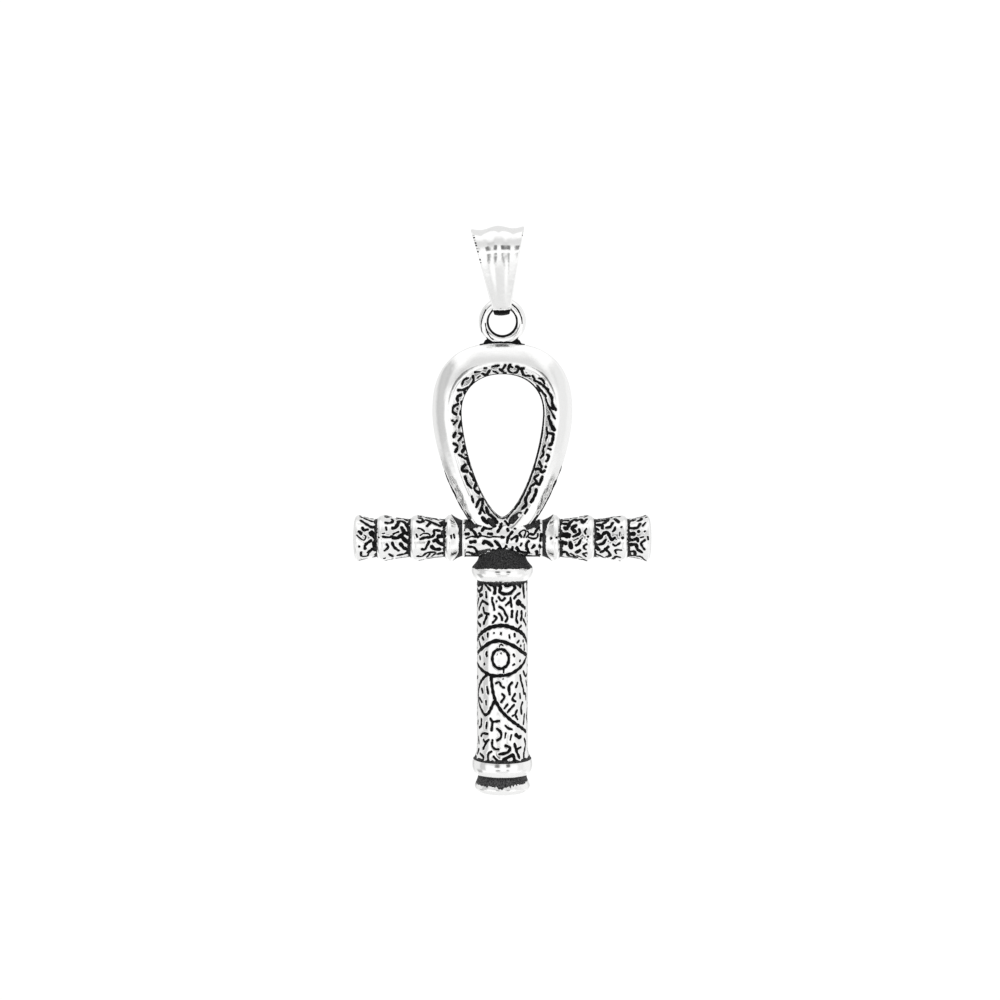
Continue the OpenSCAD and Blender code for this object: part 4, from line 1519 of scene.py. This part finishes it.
        marks.scatter(skin, (0, skin.rows), (0, columns), 4200, room, (ALONG, 1.2), (0.3, 1.5), 0.25, 0.25)
        skin.stamp(marks)
        uneven = ripple(np.broadcast_to(turn * self.bar_r, x.shape), 2 * math.pi * self.bar_r, 31, waves=12)
        along = ripple(x, 9.0, 33, waves=10)
        top = 1.14 + 0.14 * along + 0.9 * np.maximum(0, 2.5 - np.abs(x)) + np.where(np.abs(x) > lip - 0.1, 1.0, 0.0)
        skin.blacken(np.maximum((top - z) * 0.9, 0.5 - np.abs(y)))
        under = z + 1.62 + 0.12 * uneven + 0.1 * along
        skin.blacken(np.where(np.abs(x) < lip - 0.05, under, 1.0))
        crease = np.abs(np.abs(x) - lip + 0.02) - 0.05 - 0.03 * uneven
        skin.blacken(np.where(np.abs(z) > 0.9, crease, 1.0), broad=0.0)
        root = np.hypot(x * 0.85, y) - (2.1 + 0.2 * uneven + 0.08 * along)
        jag = ripple(x, 9.0, 35, waves=16, low=8)
        skin.blacken(np.where(z < -0.6, np.maximum(root, z + 1.16 + 0.1 * along + 0.14 * jag), 1.0))
        skin.bare(self.islands)
        skin.carve(self.groove)
        dress_cast("crossbar_middle", skin)

    def build(self) -> None:
        """Builds both arms and the middle."""
        self._arm("arm_right", 1, 3, RIGHT_STROKES)
        self._arm("arm_left", -1, 8, LEFT_STROKES)
        self._middle()


@dataclass
class Eye:
    """Lines of the engraved eye: places are [distance round the shaft from its front, height above the iris]."""

    middle_z: float = -12.4
    iris_x: float = -0.2
    iris: Point = (0.9, 1.03)
    iris_width: float = 0.155
    brow: Stroke = (0.2, (
        (-4.5, 1.0), (-3.3, 2.05), (-2.2, 2.8), (-1.2, 3.32), (0.05, 3.52), (1.0, 3.28), (2.0, 2.8),
        (2.75, 2.28), (3.6, 1.4),
    ))
    upper: Stroke = (0.19, (
        (-5.0, -0.3), (-3.6, 0.3), (-2.4, 1.0), (-1.3, 1.68), (-0.4, 1.9), (0.6, 1.62), (1.55, 1.15),
        (2.6, 0.46), (3.5, 0.1),
    ))
    lower: Stroke = (0.18, (
        (-5.0, -0.3), (-3.6, -0.9), (-2.0, -1.55), (-1.1, -1.8), (-0.15, -1.77), (0.8, -1.65),
        (1.9, -1.15), (2.9, -0.5), (3.5, 0.1),
    ))
    drop: Stroke = (0.16, (
        (-1.86, -1.85), (-2.8, -2.75), (-3.3, -3.8), (-3.2, -4.85), (-2.5, -5.7), (-2.0, -6.06), (-1.5, -5.75),
        (-1.08, -4.95), (-0.78, -4.36)
    ))
    cheek: Stroke = (0.17, (
        (-1.27, -1.8), (-1.1, -3.1), (-0.9, -4.0), (-0.6, -4.7), (-0.05, -5.55), (0.8, -6.42), (1.85, -7.2), (3.3, -8.1)
    ))

    def strokes(self) -> list[Stroke]:
        """Every line of the eye, with heights above the iris.

        Returns:
            The lines as strokes.
        """
        turns = np.linspace(0, 2 * math.pi, 25)
        iris = tuple((self.iris_x + self.iris[0] * math.cos(a), self.iris[1] * math.sin(a)) for a in turns)
        return [self.brow, self.upper, self.lower, self.drop, self.cheek, (self.iris_width, iris)]


@dataclass
class Shaft:
    """Round shaft with the engraved eye, its two collars and its foot."""

    eye: Eye = field(default_factory=Eye)
    r: float = 2.7
    length: float = 27.0
    collar_r: float = 3.24
    collar_z: float = -3.12
    collar_h: float = 1.26
    neck_r: float = 2.5
    neck_z: float = -2.34
    foot_neck_r: float = 2.55
    foot_r: float = 2.93
    foot_round: float = 0.62
    bead_h: float = 1.08
    bead_top: float = 34.0
    drawn_u: float = 3.75
    grid: float = 0.066
    columns: int = 262
    trim_grid: float = 0.06
    trim_columns: int = 260
    bead_up: float = 2.9
    groove: float = 0.07
    trim_groove: float = 0.03

    def _turned(self, line: Sequence[Point], columns: int, step: float) -> tuple[Skin, np.ndarray, np.ndarray]:
        """Skin of an outline given as (radius, height) from the top down.

        Args:
            line: The outline.
            columns: Points round it.
            step: Distance between rows.

        Returns:
            The skin, each point's height, and its turn from the front.
        """
        profile = resample([(z, r) for r, z in line][::-1], step)
        skin = Skin(lathe(profile, columns, "z"))
        turn = np.broadcast_to(round_turns(columns), skin.ink.shape)
        return skin, skin.points[:, :, 2], turn

    def _bead(self, z: float, high: float, low: float, h: float, start: float) -> list[Point]:
        """Rounded bead from a turn above its widest place down to its neck."""
        turns = [math.radians(mix(start, 90, i / 16)) for i in range(17)]
        return [(mix(low, high, math.cos(a)), z - h * math.sin(a)) for a in turns]

    def _top(self) -> None:
        """Builds the cove and the upper bead."""
        r, z = self.collar_r, self.collar_z
        line = catmull([(1.75, -0.95), (2.2, -1.5), (2.48, -1.95), (self.neck_r + 0.14, self.neck_z), (2.9, -2.7),
                        (r - 0.07, z + 0.1), (r - 0.02, z - 0.06), (r, z - 0.28), (r - 0.07, z - 0.6),
                        (r - 0.25, z - 0.95), (self.r - 0.02, z - self.collar_h)], 8)
        skin, height, turn = self._turned(line, self.trim_columns, self.trim_grid)
        uneven = ripple(turn * 3, 6 * math.pi, 41, waves=16, low=5)
        bare = 0.03 + 0.22 * np.abs(np.cos(turn)) ** 1.4
        front = ripple(turn * 3, 6 * math.pi, 42, waves=30, low=24) * np.abs(np.cos(turn)) ** 3
        skin.blacken(z + bare + 0.05 * uneven + 0.08 * front - height)
        skin.carve(self.trim_groove)
        dress_cast("shaft_collar", skin)

    def _stem(self) -> None:
        """Builds the textured shaft with the eye."""
        flare = 4.8 - self.length
        top = self.collar_z - self.collar_h + 0.03
        bead_z = self.bead_up - self.length
        lift = math.radians(self.bead_top)
        tip = (mix(self.foot_neck_r, self.collar_r - 0.05, math.cos(lift)), bead_z + self.bead_h * math.sin(lift))
        line = [(self.r, top), (self.r, flare + 0.2)]
        line += catmull([(self.r, flare), (self.r + 0.06, flare - 0.45), (self.r + 0.15, flare - 0.85), tip], 8)
        columns = self.columns
        skin, z, turn = self._turned(line, columns, self.grid)
        marks = Marks(12, 0.1, 0.14)
        heights, radii = z[::-1, 0], np.hypot(skin.points[::-1, 0, 0], skin.points[::-1, 0, 1])
        down, wide = -heights, radii

        def place(u: float, at: float) -> Place:
            """Surface point at a distance round the shaft from its front, and a height."""
            r = float(np.interp(-at, down, wide))
            return r * math.sin(u / self.r), -r * math.cos(u / self.r), at

        marks.draw(self.eye.strokes(), lambda u, v: place(u, v + self.eye.middle_z), wide=(1.12, 0.05))
        marks.draw(SHAFT_STROKES, place, wide=(1.42, 0.13))
        levels = z[:, 0].tolist()
        low = tip[1]

        def room(i: float, j: float) -> float:
            """Distance between marks: closer near the collars, none where marks are drawn.

            Args:
                i: Row.
                j: Column.

            Returns:
                The distance, in millimetres.
            """
            u = ((j / columns * 2 * math.pi + math.pi) % (2 * math.pi) - math.pi) * self.r
            if abs(u) < self.drawn_u:
                return 0.0
            at = levels[min(int(i), len(levels) - 1)]
            return 0.4 + 0.14 * min(1.0, min(abs(at - top), abs(at - low)) / 3.5)

        sides = self.drawn_u / self.r / (2 * math.pi) * columns
        span, rows = (sides, columns - sides), skin.rows
        marks.scatter(skin, (rows - 9, rows - 2), span, 500, room, (ALONG, 0.6), (0.6, 1.9), 0.35, 0.3)
        marks.scatter(skin, (2, 9), span, 400, room, (ALONG, 0.7), (0.5, 1.4), 0.3, 0.3)
        marks.scatter(skin, (0, rows), span, 6500, room, (ALONG, 0.9), (0.35, 1.7), 0.25, 0.2)
        skin.stamp(marks)
        period = 2 * math.pi * self.r
        uneven = ripple(turn * self.r, period, 51, waves=16, low=4)
        other = ripple(turn * self.r, period, 52, waves=16, low=4)
        skin.blacken(z - low - 0.32 - 0.22 * uneven)
        skin.blacken(top - z - 0.3 - 0.22 * other)
        skin.carve(self.groove)
        dress_cast("shaft", skin)

    def _foot(self) -> None:
        """Builds the lower bead and the foot."""
        bead_z = self.bead_up - self.length
        line = self._bead(bead_z, self.collar_r - 0.05, self.foot_neck_r, self.bead_h, -self.bead_top)
        neck_z = bead_z - self.bead_h
        widest = -self.length + self.foot_round
        line += catmull([(self.foot_neck_r, neck_z), (self.foot_neck_r + 0.1, mix(neck_z, widest, 0.4)),
                         (self.foot_r - 0.04, widest + 0.12), (self.foot_r, widest)], 8)
        for i in range(1, 13):
            a = math.pi / 2 * i / 12
            line.append((self.foot_r - self.foot_round * (1 - math.cos(a)), widest - self.foot_round * math.sin(a)))
        line.append((0.05, -self.length))
        skin, z, turn = self._turned(line, self.trim_columns, self.trim_grid)
        radius = np.hypot(skin.points[:, :, 0], skin.points[:, :, 1])
        uneven = ripple(turn * 2.8, 5.6 * math.pi, 61, waves=44, low=40)
        coarse = ripple(turn * 2.8, 5.6 * math.pi, 62, waves=9, low=2)
        dark = np.maximum(z - neck_z - 0.02, (neck_z - 0.86 + 0.2 * uneven + 0.16 * coarse + 0.12 * np.sin(turn)) - z)
        skin.blacken(np.where(radius > 2.4, dark, 1.0), broad=1.0)
        skin.carve(self.trim_groove)
        dress_cast("foot", skin, (True, False))

    def build(self) -> None:
        """Builds the collar, the shaft and the foot."""
        self._top()
        self._stem()
        self._foot()


# Studio


@dataclass(frozen=True)
class Patch:
    """A grey place in the studio's white surroundings, in degrees seen from the pendant.

    Azimuth 0 is towards the camera and positive to the right.
    """

    azimuth: float
    half_width: float
    soft_width: float
    elevation: float
    half_height: float
    soft_height: float
    dark: float


@dataclass
class Studio:
    """White surroundings with a few grey places, a pale floor, soft lights and the camera."""

    white: float = 1.1
    backdrop: float = 1.05
    patches: tuple[Patch, ...] = (
        Patch(-80, 8, 12, 12, 26, 14, 0.42),
        Patch(-122, 26, 14, 10, 30, 15, 0.2),
        Patch(-104, 8, 12, -33, 7, 10, 0.55),
        Patch(75, 9, 13, 10, 26, 14, 0.2),
        Patch(122, 26, 14, 10, 30, 15, 0.13),
        Patch(100, 8, 10, -33, 7, 8, 0.12),
        Patch(0, 30, 25, 44, 5, 30, 0.29),
        Patch(-50, 14, 14, 26, 6, 14, 0.24),
        Patch(48, 12, 14, 27, 5, 12, 0.16),
        Patch(180, 34, 12, 35, 45, 20, 0.24),
        Patch(0, 14, 16, -46, 17, 8, 0.25),
        Patch(-19, 5, 8, 13, 8, 8, 0.8),
        Patch(23, 4, 8, 14, 7, 8, 0.85),
        Patch(-17, 4, 7, -18, 3, 4, 0.7),
        Patch(22, 2, 6, -18, 3, 5, 0.6),
        Patch(-35, 5, 4, -50, 3, 4, 0.6),
        Patch(0, 4, 3, -50, 3, 4, 0.85),
        Patch(32, 8, 4, -50, 3, 4, 0.85),
    )
    floor_drop: float = 52.0
    floor_r: float = 85.0
    floor_corners: int = 96
    # Name, place, size and power of each lamp.
    lamps: tuple[tuple[str, Place, float, float], ...] = (
        ("key", (-160, -260, 180), 220, 0.25),
        ("fill", (220, -180, 60), 200, 0.15),
    )
    camera_azimuth: float = 0.0
    camera_elevation: float = 6.0
    distance: float = 250.0
    pixels_per_mm: float = 9.52
    aim: Point = (502.3, 538.0)

    def _world(self) -> None:
        """Sets the surroundings."""
        world = bpy.data.worlds.new("studio")
        bpy.context.scene.world = world
        world.use_nodes = True
        nodes = Nodes(world.node_tree)
        coordinates = nodes.add("ShaderNodeTexCoord")
        split = nodes.add("ShaderNodeSeparateXYZ", Vector=coordinates.outputs["Generated"])
        x, y, z = split.outputs
        azimuth = nodes.math("MULTIPLY", nodes.math("ARCTAN2", x, nodes.math("MULTIPLY", y, -1.0)), 180 / math.pi)
        elevation = nodes.math("MULTIPLY", nodes.math("ARCSINE", z), 180 / math.pi)
        value = nodes.ramp(elevation, -70.0, -35.0, self.white * 0.72, self.white)
        for patch in self.patches:
            gap = nodes.math("ABSOLUTE", nodes.math("SUBTRACT", azimuth, patch.azimuth))
            side = nodes.math("MINIMUM", gap, nodes.math("SUBTRACT", 360.0, gap))
            rise = nodes.math("ABSOLUTE", nodes.math("SUBTRACT", elevation, patch.elevation))
            a = nodes.ramp(side, patch.half_width, patch.half_width + patch.soft_width, 1.0, 0.0)
            b = nodes.ramp(rise, patch.half_height, patch.half_height + patch.soft_height, 1.0, 0.0)
            dark = nodes.math("MULTIPLY", nodes.math("MULTIPLY", a, b), -patch.dark)
            value = nodes.math("MULTIPLY", value, nodes.math("ADD", dark, 1.0))
        seen = nodes.add("ShaderNodeLightPath").outputs["Is Camera Ray"]
        shown = nodes.blend(seen, value, self.backdrop)
        background = nodes.add("ShaderNodeBackground", Color=(1.0, 1.0, 1.0, 1.0), Strength=shown)
        out = nodes.add("ShaderNodeOutputWorld")
        world.node_tree.links.new(background.outputs[0], out.inputs["Surface"])

    def _floor(self) -> None:
        """Adds the pale floor below the pendant."""
        low = min(p[2] for p in CAD_BOX) / MM - self.floor_drop
        corners = self.floor_corners
        turn = np.linspace(0, 2 * math.pi, corners, endpoint=False)
        rings = [self.floor_r * s for s in (0.02, 0.3, 0.6, 0.85, 1.0)]
        points = [[r * math.cos(a), r * math.sin(a), low] for r in rings for a in turn]
        faces = [list(range(corners))]
        for k in range(len(rings) - 1):
            here, out = k * corners, (k + 1) * corners
            for j in range(corners):
                n = (j + 1) % corners
                faces.append([here + j, out + j, out + n, here + n])
        floor = put_mesh("floor", np.array(points), faces, (0, 0, 0))
        material = bpy.data.materials.new("floor_paper")
        material.use_nodes = True
        nodes = Nodes(material.node_tree)
        tone = nodes.ramp(nodes.noise(0.05, 3), 0.3, 0.7, 0.86, 0.9)
        colour = nodes.add("ShaderNodeCombineColor", Red=tone, Green=tone, Blue=tone)
        paper = nodes.add("ShaderNodeBsdfPrincipled", Base_Color=colour.outputs[0], Roughness=0.9)
        out = nodes.add("ShaderNodeOutputMaterial")
        material.node_tree.links.new(paper.outputs[0], out.inputs["Surface"])
        floor.data.materials.append(material)

    def _light(self, name: str, place: Sequence[float], size: float, power: float, target: Vector) -> None:
        """Adds a soft area light that points at the pendant.

        Args:
            name: Its name.
            place: Its place, in millimetres.
            size: Its width, in millimetres.
            power: Its power, in watts.
            target: Where it points, in metres.
        """
        data = bpy.data.lights.new(name, "AREA")
        data.shape = "DISK"
        data.size = size * MM
        data.energy = power
        lamp = bpy.data.objects.new(name, data)
        lamp.location = Vector(place) * MM
        lamp.visible_glossy = False
        lamp.rotation_euler = (target - lamp.location).to_track_quat("-Z", "Y").to_euler()
        bpy.context.scene.collection.objects.link(lamp)

    def _camera(self) -> Vector:
        """Places the camera as in the photograph.

        Returns:
            The point that it looks at.
        """
        azimuth, elevation = math.radians(self.camera_azimuth), math.radians(self.camera_elevation)
        right = Vector((math.cos(azimuth), math.sin(azimuth), 0))
        ahead = Vector((-math.sin(azimuth), math.cos(azimuth), 0))
        forward = ahead * math.cos(elevation) - Vector((0, 0, math.sin(elevation)))
        up = ahead * math.sin(elevation) + Vector((0, 0, math.cos(elevation)))
        across = (500 - self.aim[0]) / self.pixels_per_mm
        rise = (self.aim[1] - 500) / self.pixels_per_mm
        target = (Vector(LINK.ankh_origin) + right * across + up * rise) * MM
        data = bpy.data.cameras.new("camera")
        data.sensor_width = 36
        data.sensor_fit = "HORIZONTAL"
        data.lens = 36 * self.distance * self.pixels_per_mm / 1000
        data.clip_start, data.clip_end = 0.01, 20
        camera = bpy.data.objects.new("camera", data)
        eye = target - forward * self.distance * MM
        camera.matrix_world = Matrix([[right[k], up[k], -forward[k], eye[k]] for k in range(3)] + [[0, 0, 0, 1]])
        bpy.context.scene.collection.objects.link(camera)
        bpy.context.scene.camera = camera
        return target

    def build(self) -> None:
        """Builds the studio."""
        target = self._camera()
        self._world()
        self._floor()
        for lamp in self.lamps:
            self._light(*lamp, target)
        bpy.context.scene.view_settings.view_transform = "Standard"
        bpy.context.scene.view_settings.look = "None"
        LOG.info("studio: camera %.0f mm away", self.distance)


def main() -> None:
    """Builds every piece in order, then the studio."""
    logging.basicConfig(level=logging.INFO, format="%(name)s: %(message)s")
    for part in (Bail(), Eyelet(), Loop(), Crossbar(), Shaft(), Studio()):
        part.build()
    LOG.info("boxes written")


if __name__ == "__main__":
    main()
